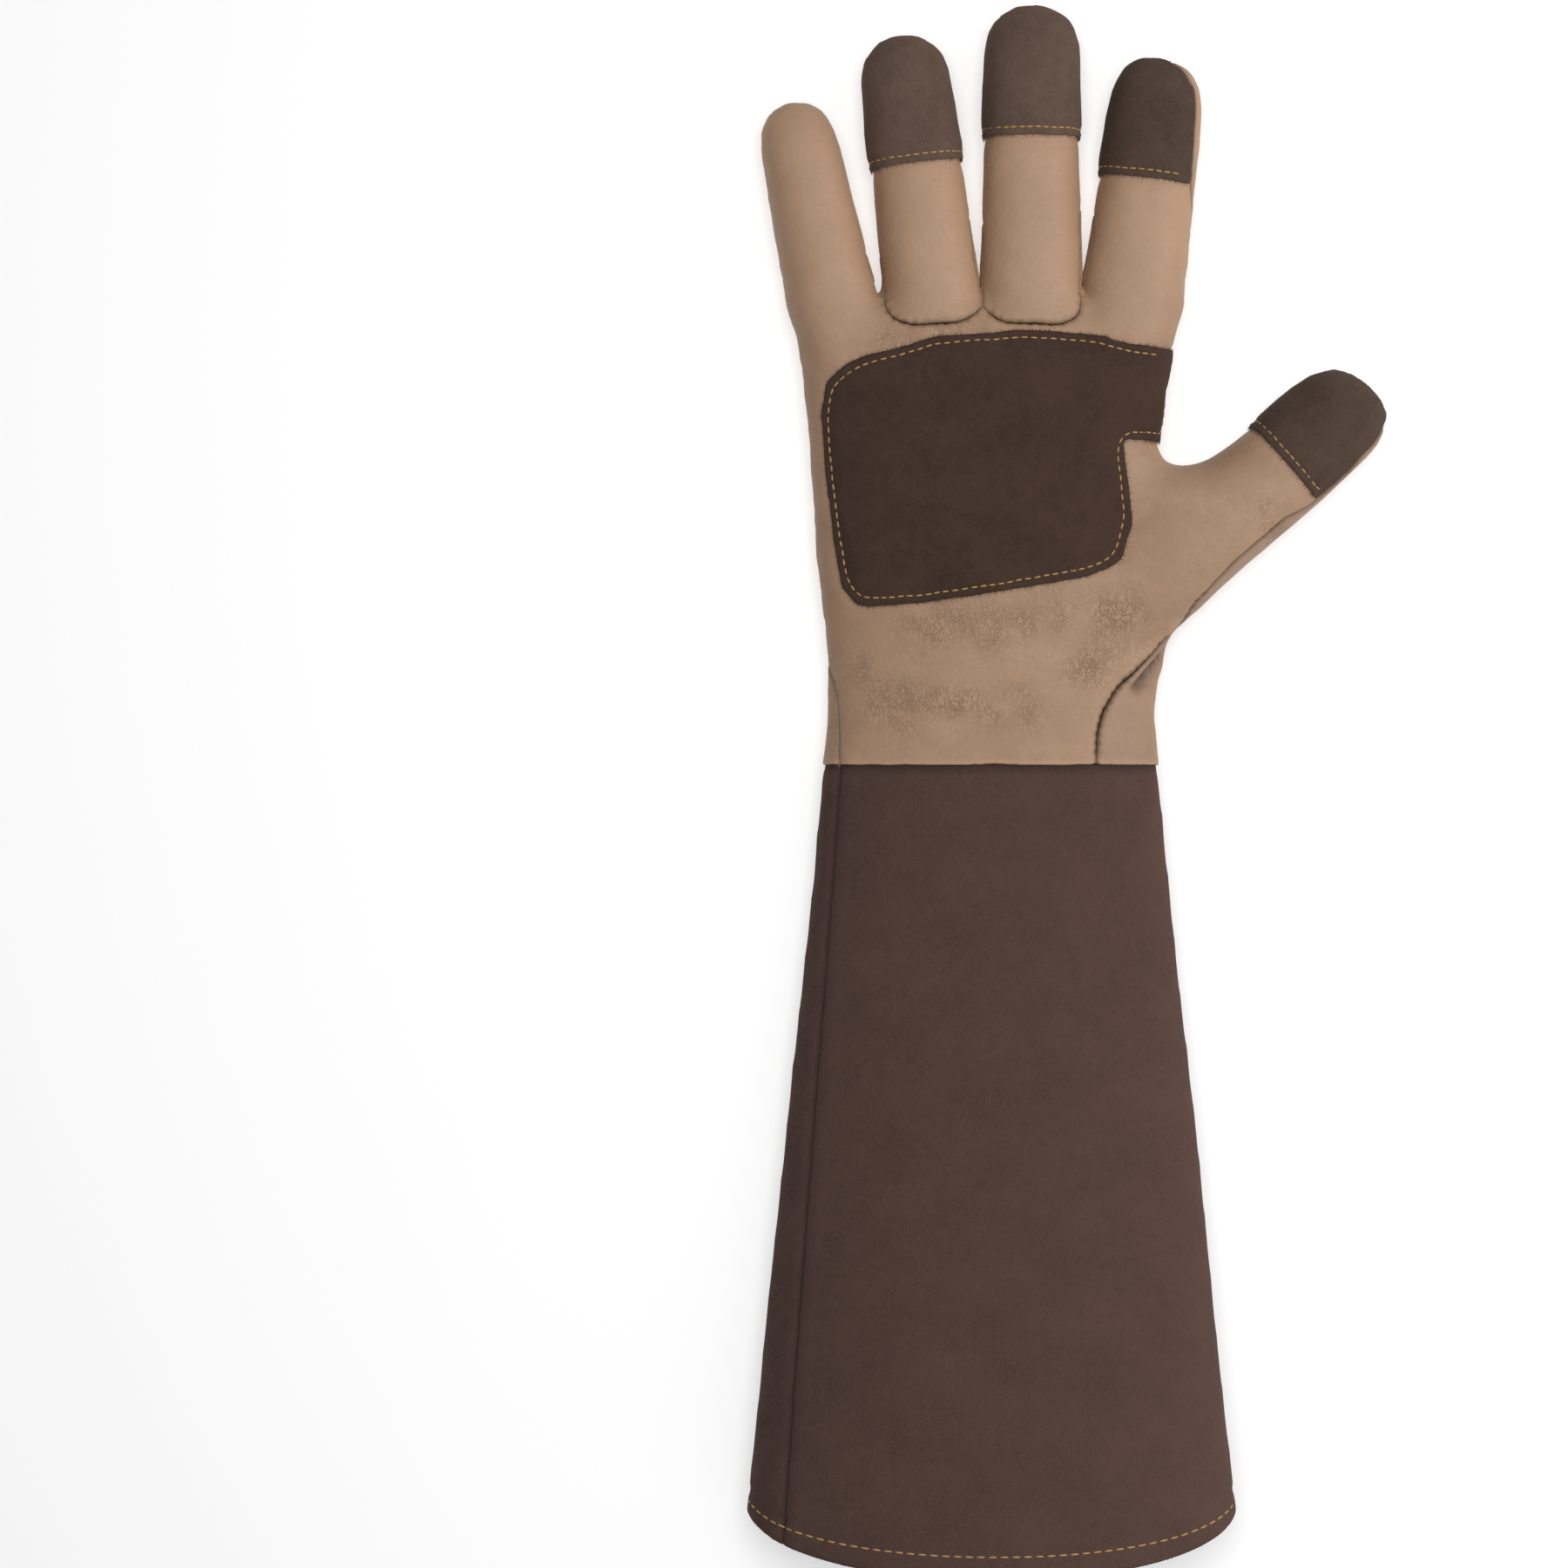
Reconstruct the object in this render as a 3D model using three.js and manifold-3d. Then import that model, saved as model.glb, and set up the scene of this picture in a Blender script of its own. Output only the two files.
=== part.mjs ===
// A long rose pruning gauntlet for the right hand, in millimetres, lying on its back with the palm up.
// The hand is tan leather cut in panels: one back panel with the backs of four fingers, a palm panel that
// runs into the fronts of the little finger, index finger and thumb, two set-in finger fronts, and a thumb
// back whose wing runs down to the wrist. Brown suede makes the palm patch, the fingertip caps and the
// flared two-panel cuff. +Y points from the cuff to the fingertips, +X to the thumb, and the back of the
// glove rests on z = 0.
import * as THREE from "three";
import { mergeVertices } from "three/addons/utils/BufferGeometryUtils.js";
import Module from "manifold-3d";

const wasm = await Module();
wasm.setup();

// Hand
const HAND_LENGTH = 129; // wrist seam to the finger crotches
const PALM_WIDTH = 104.5;
const WRIST_WIDTH = 95.5;
const HAND_THICKNESS = 27;
const SPLIT_HEIGHT = 10; // height of the widest line, where palm and back leather meet at the sides

// Fingers and thumb
const MIDDLE_LENGTH = 87.5; // crotch line to tip
const FINGER_WIDTH = 28;
const FINGER_THICKNESS = 21;
const FINGERTIP_ZONE = 15; // length over which a fingertip rounds off
const THUMB_LENGTH = 103;
const THUMB_WIDTH = 30;
const THUMB_THICKNESS = 23;
const THUMB_LEAN = 49; // degrees from the hand's length towards the thumb side
const CAP_LENGTH = 37; // suede cap on a fingertip
const THUMB_CAP_LENGTH = 33;

// Cuff
const CUFF_LENGTH = 228.5; // wrist seam to the middle of the hem
const HEM_WIDTH = 140.5;
const CUFF_THICKNESS = 42; // height of the open end as the glove lies
const CUFF_SPLIT_HEIGHT = 17; // height of the cuff's widest line at the hem
const HEM_BOW = 18.7; // how far the hem's corners lie back from its middle
const HEM_DEPTH = 6.5; // width of the turned-in hem

// Leather and sewing
const LEATHER = 1.2;
const SUEDE = 1.4;
const PATCH = 1;
const SEAM_GAP = 0.3; // clearance between two pieces that are sewn together
const CUFF_SEAM_INSET = 5; // the cuff's seams lie this far in from its edges at the wrist
const CUFF_SEAM_SPREAD = 5; // and this much further in at the hem
const BASE_SEAM_DROP = 3.7; // the set-in finger fronts reach this far below the crotches
const CROTCH_DROP = 4; // the back panel's notches reach this far below the crotches

// Elastic gather across the back of the wrist
const GATHER_PLACE = 34; // distance from the wrist seam
const GATHER_REACH = 9;
const GATHER_DEPTH = 0.9;
const GATHER_COUNT = 7;

// Section shape and mesh fineness
const TOP_FULLNESS = 2.25; // 2 is an ellipse, more is squarer
const BOTTOM_FULLNESS = 2.6;
const FLATTENED = 1.12; // how far the underside would sag through the surface it rests on
const TIP_FULLNESS = 2.45;
const HAND_SIDES = 40;
const DIGIT_SIDES = 16;
const CUFF_SIDES = 32;
const HAND_ROWS = 13;
const DIGIT_ROWS = 5;
const TIP_ANGLES = [32, 58, 80]; // degrees round the tip at which it has a ring
const HEM_POINTS = 20;
const FAR = 2 * (CUFF_LENGTH + HAND_LENGTH + MIDDLE_LENGTH); // reach of the cutting outlines
const LAP = 0.05; // overlap that welds two cutters into one

// Hand sections. along is a share of HAND_LENGTH; left and right are shares of the half width, which
// runs from the wrist's to the palm's; high and low are shares of HAND_THICKNESS.
const HAND_SECTIONS = [
  { along: -0.08, left: 1.0, right: 1.0, high: 0.93, low: 0.0 },
  { along: 0.0, left: 1.0, right: 1.0, high: 0.93, low: 0.0 },
  { along: 0.15, left: 0.963, right: 0.978, high: 0.9, low: 0.05 },
  { along: 0.26, left: 0.961, right: 1.03, high: 0.9, low: 0.1 },
  { along: 0.38, left: 0.978, right: 1.0, high: 0.97, low: 0.03 },
  { along: 0.47, left: 0.996, right: 0.926, high: 1.0, low: 0.0 },
  { along: 0.7, left: 1.007, right: 0.939, high: 1.0, low: 0.0 },
  { along: 0.85, left: 1.029, right: 0.971, high: 0.94, low: 0.0 },
  { along: 0.94, left: 1.05, right: 0.995, high: 0.84, low: 0.01 },
  { along: 0.985, left: 1.0, right: 0.95, high: 0.74, low: 0.05 },
  { along: 1.015, left: 0.9, right: 0.85, high: 0.6, low: 0.12 },
];

// Fingers. root is where the axis crosses the crotch line, as a share of PALM_WIDTH; reach is a share
// of MIDDLE_LENGTH, wide of FINGER_WIDTH and cap of CAP_LENGTH; lean is in degrees towards the thumb.
const FINGERS = {
  little: { root: -0.426, reach: 0.702, wide: 0.89, lean: -12, cap: 0 },
  ring: { root: -0.154, reach: 0.906, wide: 0.955, lean: -7, cap: 1 },
  middle: { root: 0.112, reach: 1, wide: 1.01, lean: 0, cap: 1.02 },
  index: { root: 0.382, reach: 0.834, wide: 1.02, lean: 7.4, cap: 0.95 },
};

// Sections shared by the fingers. along is a share of the finger's length, wide of its width, high and
// low of FINGER_THICKNESS. The first row lies inside the hand. The fingertips lie clear of the surface
// by the thickness of their caps.
const FINGER_SECTIONS = [
  { along: -0.38, wide: 0.76, high: 0.93, low: 0.06 },
  { along: -0.1, wide: 0.95, high: 1.0, low: 0.02 },
  { along: 0.0, wide: 1.03, high: 1.02, low: 0.0 },
  { along: 0.3, wide: 1.01, high: 1.0, low: 0.0 },
  { along: 0.5, wide: 0.98, high: 0.975, low: 0.068 },
  { along: 0.6, wide: 0.96, high: 0.96, low: 0.07 },
  { along: 0.85, wide: 0.9, high: 0.91, low: 0.085 },
  { along: 1.0, wide: 0.88, high: 0.88, low: 0.11 },
];

// Thumb sections. upper is the half width on the index finger's side, where the web flares, and lower
// the other, both as shares of THUMB_WIDTH; high and low are shares of THUMB_THICKNESS. The first rows
// lie inside the hand.
const THUMB_ROOT = { across: 0.3, along: 0.299 }; // shares of PALM_WIDTH and HAND_LENGTH
const THUMB_SECTIONS = [
  { along: 0.0, upper: 0.4, lower: 0.46, high: 0.94, low: 0.08 },
  { along: 0.22, upper: 0.75, lower: 0.48, high: 1.04, low: 0.04 },
  { along: 0.36, upper: 0.95, lower: 0.46, high: 1.06, low: 0.02 },
  { along: 0.42, upper: 0.82, lower: 0.46, high: 1.04, low: 0.02 },
  { along: 0.48, upper: 0.63, lower: 0.46, high: 1.03, low: 0.02 },
  { along: 0.56, upper: 0.55, lower: 0.46, high: 1.0, low: 0.02 },
  { along: 0.8, upper: 0.52, lower: 0.44, high: 0.96, low: 0.02 },
  { along: 1.0, upper: 0.47, lower: 0.42, high: 0.9, low: 0.08 },
];

// Where the seams lie on the back of each finger, at shares of its length and of its half width. The
// ulnar side is the little finger's side. The little finger's outer seam and the index finger's lie at
// their edges.
const BACK_SEAMS = [
  { along: 0.05, littleRadial: 0.57, ringUlnar: -0.66, ringRadial: 0.52,
    middleUlnar: -0.62, middleRadial: 0.45, indexUlnar: -0.5 },
  { along: 0.3, littleRadial: 0.55, ringUlnar: -0.76, ringRadial: 0.56,
    middleUlnar: -0.7, middleRadial: 0.5, indexUlnar: -0.35 },
  { along: 0.55, littleRadial: 0.52, ringUlnar: -0.78, ringRadial: 0.66,
    middleUlnar: -0.78, middleRadial: 0.62, indexUlnar: -0.33 },
  { along: 0.78, littleRadial: 0.6, ringUlnar: -0.86, ringRadial: 0.76,
    middleUlnar: -0.82, middleRadial: 0.74, indexUlnar: -0.34 },
  { along: 0.93, littleRadial: 0.62, ringUlnar: -0.82, ringRadial: 0.78,
    middleUlnar: -0.78, middleRadial: 0.74, indexUlnar: -0.45 },
];

// Seam between back panel and thumb back, from the wrist to the thumb crotch. across is a share of
// half PALM_WIDTH and along of HAND_LENGTH.
const RADIAL_SEAM = [
  { across: 0.806, along: -0.04 },
  { across: 0.806, along: 0.0 },
  { across: 0.768, along: 0.07 },
  { across: 0.754, along: 0.165 },
  { across: 0.79, along: 0.246 },
  { across: 0.845, along: 0.34 },
  { across: 0.916, along: 0.448 },
  { across: 0.955, along: 0.52 },
  { across: 0.955, along: 0.62 },
  { across: 0.92, along: 0.71 },
];

// Seam between palm panel and thumb wing on the palm side, from the wrist to the thumb's outer edge.
const WING_SEAM = [
  { across: 0.56, along: -0.04 },
  { across: 0.56, along: 0.0 },
  { across: 0.575, along: 0.068 },
  { across: 0.603, along: 0.116 },
  { across: 0.68, along: 0.165 },
  { across: 0.785, along: 0.213 },
  { across: 0.95, along: 0.27 },
];

// Palm patch outline, anticlockwise from its lower corner on the little finger's side. across is a
// share of half PALM_WIDTH and along of HAND_LENGTH.
const PATCH_OUTLINE = [
  { across: -0.735, along: 0.352 },
  { across: -0.66, along: 0.347 },
  { across: -0.35, along: 0.357 },
  { across: 0.2, along: 0.39 },
  { across: 0.52, along: 0.413 },
  { across: 0.66, along: 0.44 },
  { across: 0.72, along: 0.485 },
  { across: 0.735, along: 0.54 },
  { across: 0.73, along: 0.62 },
  { across: 0.705, along: 0.715 },
  { across: 0.88, along: 0.714 },
  { across: 1.2, along: 0.712 },
  { across: 1.25, along: 0.9 },
  { across: 0.78, along: 0.925 },
  { across: 0.5, along: 0.942 },
  { across: 0.1, along: 0.947 },
  { across: -0.3, along: 0.935 },
  { across: -0.65, along: 0.905 },
  { across: -0.82, along: 0.875 },
  { across: -0.9, along: 0.835 },
  { across: -0.92, along: 0.78 },
  { across: -0.9, along: 0.65 },
  { across: -0.86, along: 0.5 },
  { across: -0.81, along: 0.39 },
];

// Cuff sections, from the wrist seam to past the hem. along is a share of CUFF_LENGTH, wide says how
// far the width has gone from the wrist's to the hem's, and high does the same for the thickness.
const CUFF_SECTIONS = [
  { along: 0.0, wide: 0.0, high: 0.0 },
  { along: 0.2, wide: 0.2, high: 0.16 },
  { along: 0.45, wide: 0.47, high: 0.42 },
  { along: 0.7, wide: 0.735, high: 0.7 },
  { along: 0.95, wide: 1.0, high: 1.0 },
  { along: 1.1, wide: 1.16, high: 1.15 },
];

const TAN = { color: 0xa88a72, roughness: 0.5, metalness: 0 };
const BROWN = { color: 0x54433c, roughness: 0.95, metalness: 0 };

const glove = new THREE.Group();

// The value of one column of a table at a place along it, on a smooth curve through its rows.
function columnAt(table, column, place) {
  const places = table.map((row) => row.along);
  const values = table.map((row) => row[column]);
  return new THREE.CubicInterpolant(places, values, 1).evaluate(place)[0];
}

// A closed solid for joining and cutting, from any closed three.js geometry.
function solid(geometry) {
  const bare = geometry.clone();
  bare.deleteAttribute("normal");
  bare.deleteAttribute("uv");
  const merged = mergeVertices(bare, 1e-4);
  const mesh = new wasm.Mesh({
    numProp: 3,
    vertProperties: merged.attributes.position.array,
    triVerts: new Uint32Array(merged.index.array),
  });
  return new wasm.Manifold(mesh);
}

const signedPower = (value, power) => Math.sign(value) * Math.abs(value) ** power;

// A closed tube through a list of sections: a cylinder whose rings are moved on to them. A section has
// its centre (x, y), the angle its axis leans from +Y, half widths left and right, and heights low, mid
// and high. ripple adds height to the underside.
function loft(sections, sides, ripple = () => 0) {
  const last = sections.length - 1;
  const geometry = new THREE.CylinderGeometry(1, 1, last, sides, last);
  const points = geometry.attributes.position;
  for (let i = 0; i < points.count; i++) {
    const section = sections[Math.round(points.getY(i) + last / 2)];
    const side = points.getX(i);
    const up = points.getZ(i);
    const power = 2 / (up >= 0 ? TOP_FULLNESS : BOTTOM_FULLNESS);
    const across = signedPower(side, power) * (side >= 0 ? section.right : section.left);
    const lean = THREE.MathUtils.degToRad(section.lean);
    const x = section.x + across * Math.cos(lean);
    const y = section.y - across * Math.sin(lean);
    const under = section.mid - (section.mid - section.low) * FLATTENED * Math.abs(up) ** power;
    const z = up >= 0
      ? section.mid + (section.high - section.mid) * up ** power
      : Math.max(section.low, under) + ripple(x, y) * Math.abs(up);
    points.setXYZ(i, x, y, z);
  }
  return solid(geometry);
}

// The same sections moved out by grow on every side, or in if it is negative.
function grown(section, grow) {
  return {
    ...section,
    left: section.left + grow,
    right: section.right + grow,
    low: section.low - grow,
    high: section.high + grow,
  };
}

// The hand without its digits
function halfWidthAt(along) {
  const share = THREE.MathUtils.clamp(along / 0.85, 0, 1);
  return THREE.MathUtils.lerp(WRIST_WIDTH, PALM_WIDTH, share) / 2;
}

function gather(x, y) {
  const near = Math.exp(-(((y - GATHER_PLACE) / GATHER_REACH) ** 2));
  const wave = 0.5 + 0.5 * Math.cos((2 * Math.PI * GATHER_COUNT * x) / WRIST_WIDTH);
  return GATHER_DEPTH * near * wave;
}

function handBody(grow) {
  const first = HAND_SECTIONS[0].along;
  const span = HAND_SECTIONS[HAND_SECTIONS.length - 1].along - first;
  const sections = [];
  for (let i = 0; i < HAND_ROWS; i++) {
    const along = first + (span * i) / (HAND_ROWS - 1);
    const end = i === HAND_ROWS - 1 ? grow : 0;
    sections.push(
      grown(
        {
          x: 0,
          y: along * HAND_LENGTH + end,
          lean: 0,
          left: columnAt(HAND_SECTIONS, "left", along) * halfWidthAt(along),
          right: columnAt(HAND_SECTIONS, "right", along) * halfWidthAt(along),
          low: Math.max(0, columnAt(HAND_SECTIONS, "low", along) * HAND_THICKNESS),
          mid: SPLIT_HEIGHT,
          high: columnAt(HAND_SECTIONS, "high", along) * HAND_THICKNESS,
        },
        grow,
      ),
    );
  }
  return loft(sections, HAND_SIDES, gather);
}

// A finger or thumb: a straight axis, sections along it and a rounded tip
function digit({ x, y, lean, length, sectionAt, first }) {
  const angle = THREE.MathUtils.degToRad(lean);
  const tipStart = 1 - FINGERTIP_ZONE / length;
  const at = (along, across) => {
    const section = sectionAt(along);
    const half = across >= 0 ? section.right : section.left;
    return new THREE.Vector2(
      x + Math.sin(angle) * along * length + Math.cos(angle) * across * half,
      y + Math.cos(angle) * along * length - Math.sin(angle) * across * half,
    );
  };
  const rounded = (along, share, grow) => {
    const section = grown(sectionAt(along), grow);
    const centre = at(along, 0);
    return {
      ...section,
      x: centre.x,
      y: centre.y,
      lean,
      left: section.left * share,
      right: section.right * share,
      high: section.mid + (section.high - section.mid) * share,
      low: section.mid - (section.mid - section.low) * share,
    };
  };
  const body = (grow) => {
    const sections = [];
    for (let i = 0; i < DIGIT_ROWS; i++) {
      sections.push(rounded(first + ((tipStart - first) * i) / (DIGIT_ROWS - 1), 1, grow));
    }
    for (const degrees of TIP_ANGLES) {
      const turn = THREE.MathUtils.degToRad(degrees);
      const reach = tipStart + (1 - tipStart + grow / length) * Math.sin(turn) ** (2 / TIP_FULLNESS);
      sections.push(rounded(reach, Math.cos(turn) ** (2 / TIP_FULLNESS), grow));
    }
    return loft(sections, DIGIT_SIDES);
  };
  return { at, body, length };
}

function makeFinger({ root, reach, wide, lean }) {
  return digit({
    x: root * PALM_WIDTH,
    y: HAND_LENGTH,
    lean,
    length: reach * MIDDLE_LENGTH,
    first: FINGER_SECTIONS[0].along,
    sectionAt: (along) => {
      const place = Math.min(along, 1);
      const half = (columnAt(FINGER_SECTIONS, "wide", place) * wide * FINGER_WIDTH) / 2;
      return {
        left: half,
        right: half,
        low: Math.max(0, columnAt(FINGER_SECTIONS, "low", place) * FINGER_THICKNESS),
        mid: SPLIT_HEIGHT,
        high: columnAt(FINGER_SECTIONS, "high", place) * FINGER_THICKNESS,
      };
    },
  });
}

function makeThumb() {
  return digit({
    x: THUMB_ROOT.across * PALM_WIDTH,
    y: THUMB_ROOT.along * HAND_LENGTH,
    lean: THUMB_LEAN,
    length: THUMB_LENGTH,
    first: THUMB_SECTIONS[0].along,
    sectionAt: (along) => {
      const place = Math.min(along, 1);
      return {
        left: columnAt(THUMB_SECTIONS, "upper", place) * THUMB_WIDTH,
        right: columnAt(THUMB_SECTIONS, "lower", place) * THUMB_WIDTH,
        low: Math.max(0, columnAt(THUMB_SECTIONS, "low", place) * THUMB_THICKNESS),
        mid: SPLIT_HEIGHT,
        high: columnAt(THUMB_SECTIONS, "high", place) * THUMB_THICKNESS,
      };
    },
  });
}

const fingers = Object.fromEntries(
  Object.entries(FINGERS).map(([name, row]) => [name, makeFinger(row)]),
);
const { little, ring, middle, index } = fingers;
const thumb = makeThumb();
const digits = [little, ring, middle, index, thumb];

// Hand and digits as one solid, moved out by grow
function wholeHand(grow) {
  return digits.reduce((joined, part) => joined.add(part.body(grow)), handBody(grow));
}

// The cuff's tube, moved out by grow
function cuffTube(grow) {
  const wristHeight = columnAt(HAND_SECTIONS, "high", 0) * HAND_THICKNESS;
  const sections = CUFF_SECTIONS.map((row) => {
    const half = THREE.MathUtils.lerp(WRIST_WIDTH, HEM_WIDTH, row.wide) / 2 + grow;
    return {
      x: 0,
      y: -row.along * CUFF_LENGTH + (row.along === 0 ? LAP : 0),
      lean: 0,
      left: half,
      right: half,
      low: -grow,
      mid: THREE.MathUtils.lerp(SPLIT_HEIGHT, CUFF_SPLIT_HEIGHT, row.high),
      high: THREE.MathUtils.lerp(wristHeight, CUFF_THICKNESS, row.high) + grow,
    };
  });
  return loft(sections.reverse(), CUFF_SIDES);
}

// Cutting solids
const point = (x, y) => new THREE.Vector2(x, y);
const onPalm = ({ across, along }) => point((across * PALM_WIDTH) / 2, along * HAND_LENGTH);

// A closed outline moved out by distance, anticlockwise outlines only
function widened(outline, distance) {
  return outline.map((corner, i) => {
    const before = outline[(i + outline.length - 1) % outline.length];
    const after = outline[(i + 1) % outline.length];
    const inward = corner.clone().sub(before).normalize();
    const outward = after.clone().sub(corner).normalize();
    const first = point(inward.y, -inward.x);
    const second = point(outward.y, -outward.x);
    const bisector = first.clone().add(second).normalize();
    const stretch = distance / Math.max(bisector.dot(first), 0.4);
    return corner.clone().addScaledVector(bisector, stretch);
  });
}

// An upright block with that outline, taller than the glove
function block(outline) {
  const geometry = new THREE.ExtrudeGeometry(new THREE.Shape(outline), { depth: FAR, bevelEnabled: false });
  return solid(geometry.translate(0, 0, -FAR / 2));
}

// Everything below the line where palm and back leather meet at the sides, moved up by rise
function lowerHalf(rise = 0) {
  const profile = [
    point(FAR, -FAR),
    point(FAR, SPLIT_HEIGHT + rise),
    point(0, SPLIT_HEIGHT + rise),
    point(-CUFF_LENGTH, CUFF_SPLIT_HEIGHT + rise),
    point(-FAR, CUFF_SPLIT_HEIGHT + rise),
    point(-FAR, -FAR),
  ];
  const geometry = new THREE.ExtrudeGeometry(new THREE.Shape(profile), { depth: FAR, bevelEnabled: false });
  geometry.applyMatrix4(new THREE.Matrix4().makeBasis(
    new THREE.Vector3(0, 1, 0),
    new THREE.Vector3(0, 0, 1),
    new THREE.Vector3(1, 0, 0),
  ));
  return solid(geometry.translate(-FAR / 2, 0, 0));
}

// The largest body of a cut solid, without the offcuts that a seam leaves in a crotch
function mainBody(cut) {
  return cut.decompose().reduce((best, body) => (body.volume() > best.volume() ? body : best));
}

function addPiece(name, made, material) {
  const mesh = mainBody(made).getMesh();
  const geometry = new THREE.BufferGeometry();
  geometry.setAttribute("position", new THREE.BufferAttribute(mesh.vertProperties, 3));
  geometry.setIndex(new THREE.BufferAttribute(mesh.triVerts, 1));
  geometry.computeVertexNormals();
  const piece = new THREE.Mesh(geometry, new THREE.MeshStandardMaterial(material));
  piece.name = name;
  glove.add(piece);
}

// Outlines of the hand's panels, seen from the palm side
const backSeam = (finger, column) => (row) => finger.at(row.along, row[column]);
const between = (first, second, along) => first.at(along, 1).add(second.at(along, -1)).multiplyScalar(0.5);

// The notch of the back panel round the crotch between two fingers
function notch(radialFinger, ulnarFinger) {
  const crotch = between(ulnarFinger, radialFinger, 0);
  const sideStep = FINGER_WIDTH / 8;
  return [
    point(crotch.x + sideStep, HAND_LENGTH - CROTCH_DROP / 2),
    point(crotch.x, HAND_LENGTH - CROTCH_DROP),
    point(crotch.x - sideStep, HAND_LENGTH - CROTCH_DROP / 2),
  ];
}

function backOutline() {
  const upwards = BACK_SEAMS;
  const downwards = [...BACK_SEAMS].reverse();
  return [
    point(-FAR, -CROTCH_DROP),
    ...RADIAL_SEAM.map(onPalm),
    index.at(-0.3, 1.2),
    index.at(0, 1.4),
    index.at(0.95, 1.5),
    index.at(1.15, 0.8),
    index.at(1.15, -0.2),
    ...downwards.map(backSeam(index, "indexUlnar")),
    ...notch(index, middle),
    ...upwards.map(backSeam(middle, "middleRadial")),
    middle.at(1.1, 0.5),
    middle.at(1.1, -0.5),
    ...downwards.map(backSeam(middle, "middleUlnar")),
    ...notch(middle, ring),
    ...upwards.map(backSeam(ring, "ringRadial")),
    ring.at(1.1, 0.5),
    ring.at(1.1, -0.5),
    ...downwards.map(backSeam(ring, "ringUlnar")),
    ...notch(ring, little),
    ...upwards.map(backSeam(little, "littleRadial")),
    little.at(1.15, 0.2),
    little.at(1.15, -0.8),
    point(-FAR, HAND_LENGTH),
  ];
}

// Back leather that rolls on to the palm side at the little finger's side of the wrist
function ulnarWrapOutline() {
  const edge = -WRIST_WIDTH / 2;
  const roll = CUFF_SEAM_INSET;
  return [
    point(edge - roll * 2, -CROTCH_DROP),
    point(edge + roll, -CROTCH_DROP),
    point(edge + roll, 0),
    point(edge + roll * 0.7, HAND_LENGTH * 0.16),
    point(edge + roll * 0.1, HAND_LENGTH * 0.24),
    point(edge - roll * 2, HAND_LENGTH * 0.26),
  ];
}

// Back leather that rolls on to the palm side along the outer edge of the index finger
function indexWrapOutline() {
  return [
    index.at(0.3, 1.4),
    index.at(1.2, 1.4),
    index.at(1.2, -0.1),
    index.at(1.01, -0.1),
    index.at(0.97, 0.4),
    index.at(0.9, 0.72),
    index.at(0.78, 0.82),
    index.at(0.55, 0.86),
    index.at(0.38, 0.97),
  ];
}

function thumbLowOutline() {
  return [
    point(FAR, -CROTCH_DROP),
    thumb.at(1.15, 2),
    thumb.at(1.15, -0.4),
    thumb.at(0.98, -0.5),
    thumb.at(0.9, -0.68),
    thumb.at(0.75, -0.74),
    thumb.at(0.56, -0.76),
    thumb.at(0.48, -0.82),
    thumb.at(0.43, -0.86),
    ...RADIAL_SEAM.map(onPalm).reverse(),
  ];
}

function thumbWingOutline() {
  return [
    point(FAR, -CROTCH_DROP),
    thumb.at(1.15, 2),
    thumb.at(1.15, 0.3),
    thumb.at(1.0, 0.55),
    thumb.at(0.94, 0.78),
    thumb.at(0.8, 0.92),
    thumb.at(0.6, 0.88),
    thumb.at(0.4, 0.86),
    ...WING_SEAM.map(onPalm).reverse(),
  ];
}

function ringFrontOutline() {
  const drop = HAND_LENGTH - BASE_SEAM_DROP;
  return [
    between(little, ring, 0.04),
    point(ring.at(0, -0.92).x, HAND_LENGTH - BASE_SEAM_DROP * 0.4),
    point(ring.at(0, -0.72).x, drop),
    point(ring.at(0, 0.3).x, drop + BASE_SEAM_DROP * 0.1),
    point(ring.at(0, 0.8).x, HAND_LENGTH - BASE_SEAM_DROP * 0.5),
    between(ring, middle, 0.04),
    between(ring, middle, 0.85),
    point(ring.at(1, 1).x, FAR),
    point(ring.at(1, -1.5).x, FAR),
    between(little, ring, 0.8),
  ];
}

function middleFrontOutline() {
  const drop = HAND_LENGTH - BASE_SEAM_DROP;
  return [
    between(ring, middle, 0.04),
    point(middle.at(0, -0.85).x, HAND_LENGTH - BASE_SEAM_DROP * 0.5),
    point(middle.at(0, -0.62).x, drop + BASE_SEAM_DROP * 0.1),
    point(middle.at(0, 0.72).x, drop),
    point(middle.at(0, 0.9).x, HAND_LENGTH - BASE_SEAM_DROP * 0.6),
    between(middle, index, 0.06),
    between(middle, index, 0.85),
    point(middle.at(1, 1.5).x, FAR),
    point(middle.at(1, -1.3).x, FAR),
    between(ring, middle, 0.85),
  ];
}

// The parts of space that the back panel and the thumb back take, moved out by grow
function backSpace(grow) {
  const below = block(widened(backOutline(), grow)).intersect(lowerHalf(grow - SEAM_GAP));
  const above = [ulnarWrapOutline(), indexWrapOutline()].map((outline) =>
    block(widened(outline, grow)).subtract(lowerHalf(-SEAM_GAP - LAP - grow)),
  );
  return above.reduce((joined, wrap) => joined.add(wrap), below);
}

function thumbSpace(grow) {
  const below = block(widened(thumbLowOutline(), grow)).intersect(lowerHalf(grow + LAP));
  const above = block(widened(thumbWingOutline(), grow)).subtract(lowerHalf(-grow));
  return below.add(above);
}

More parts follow.
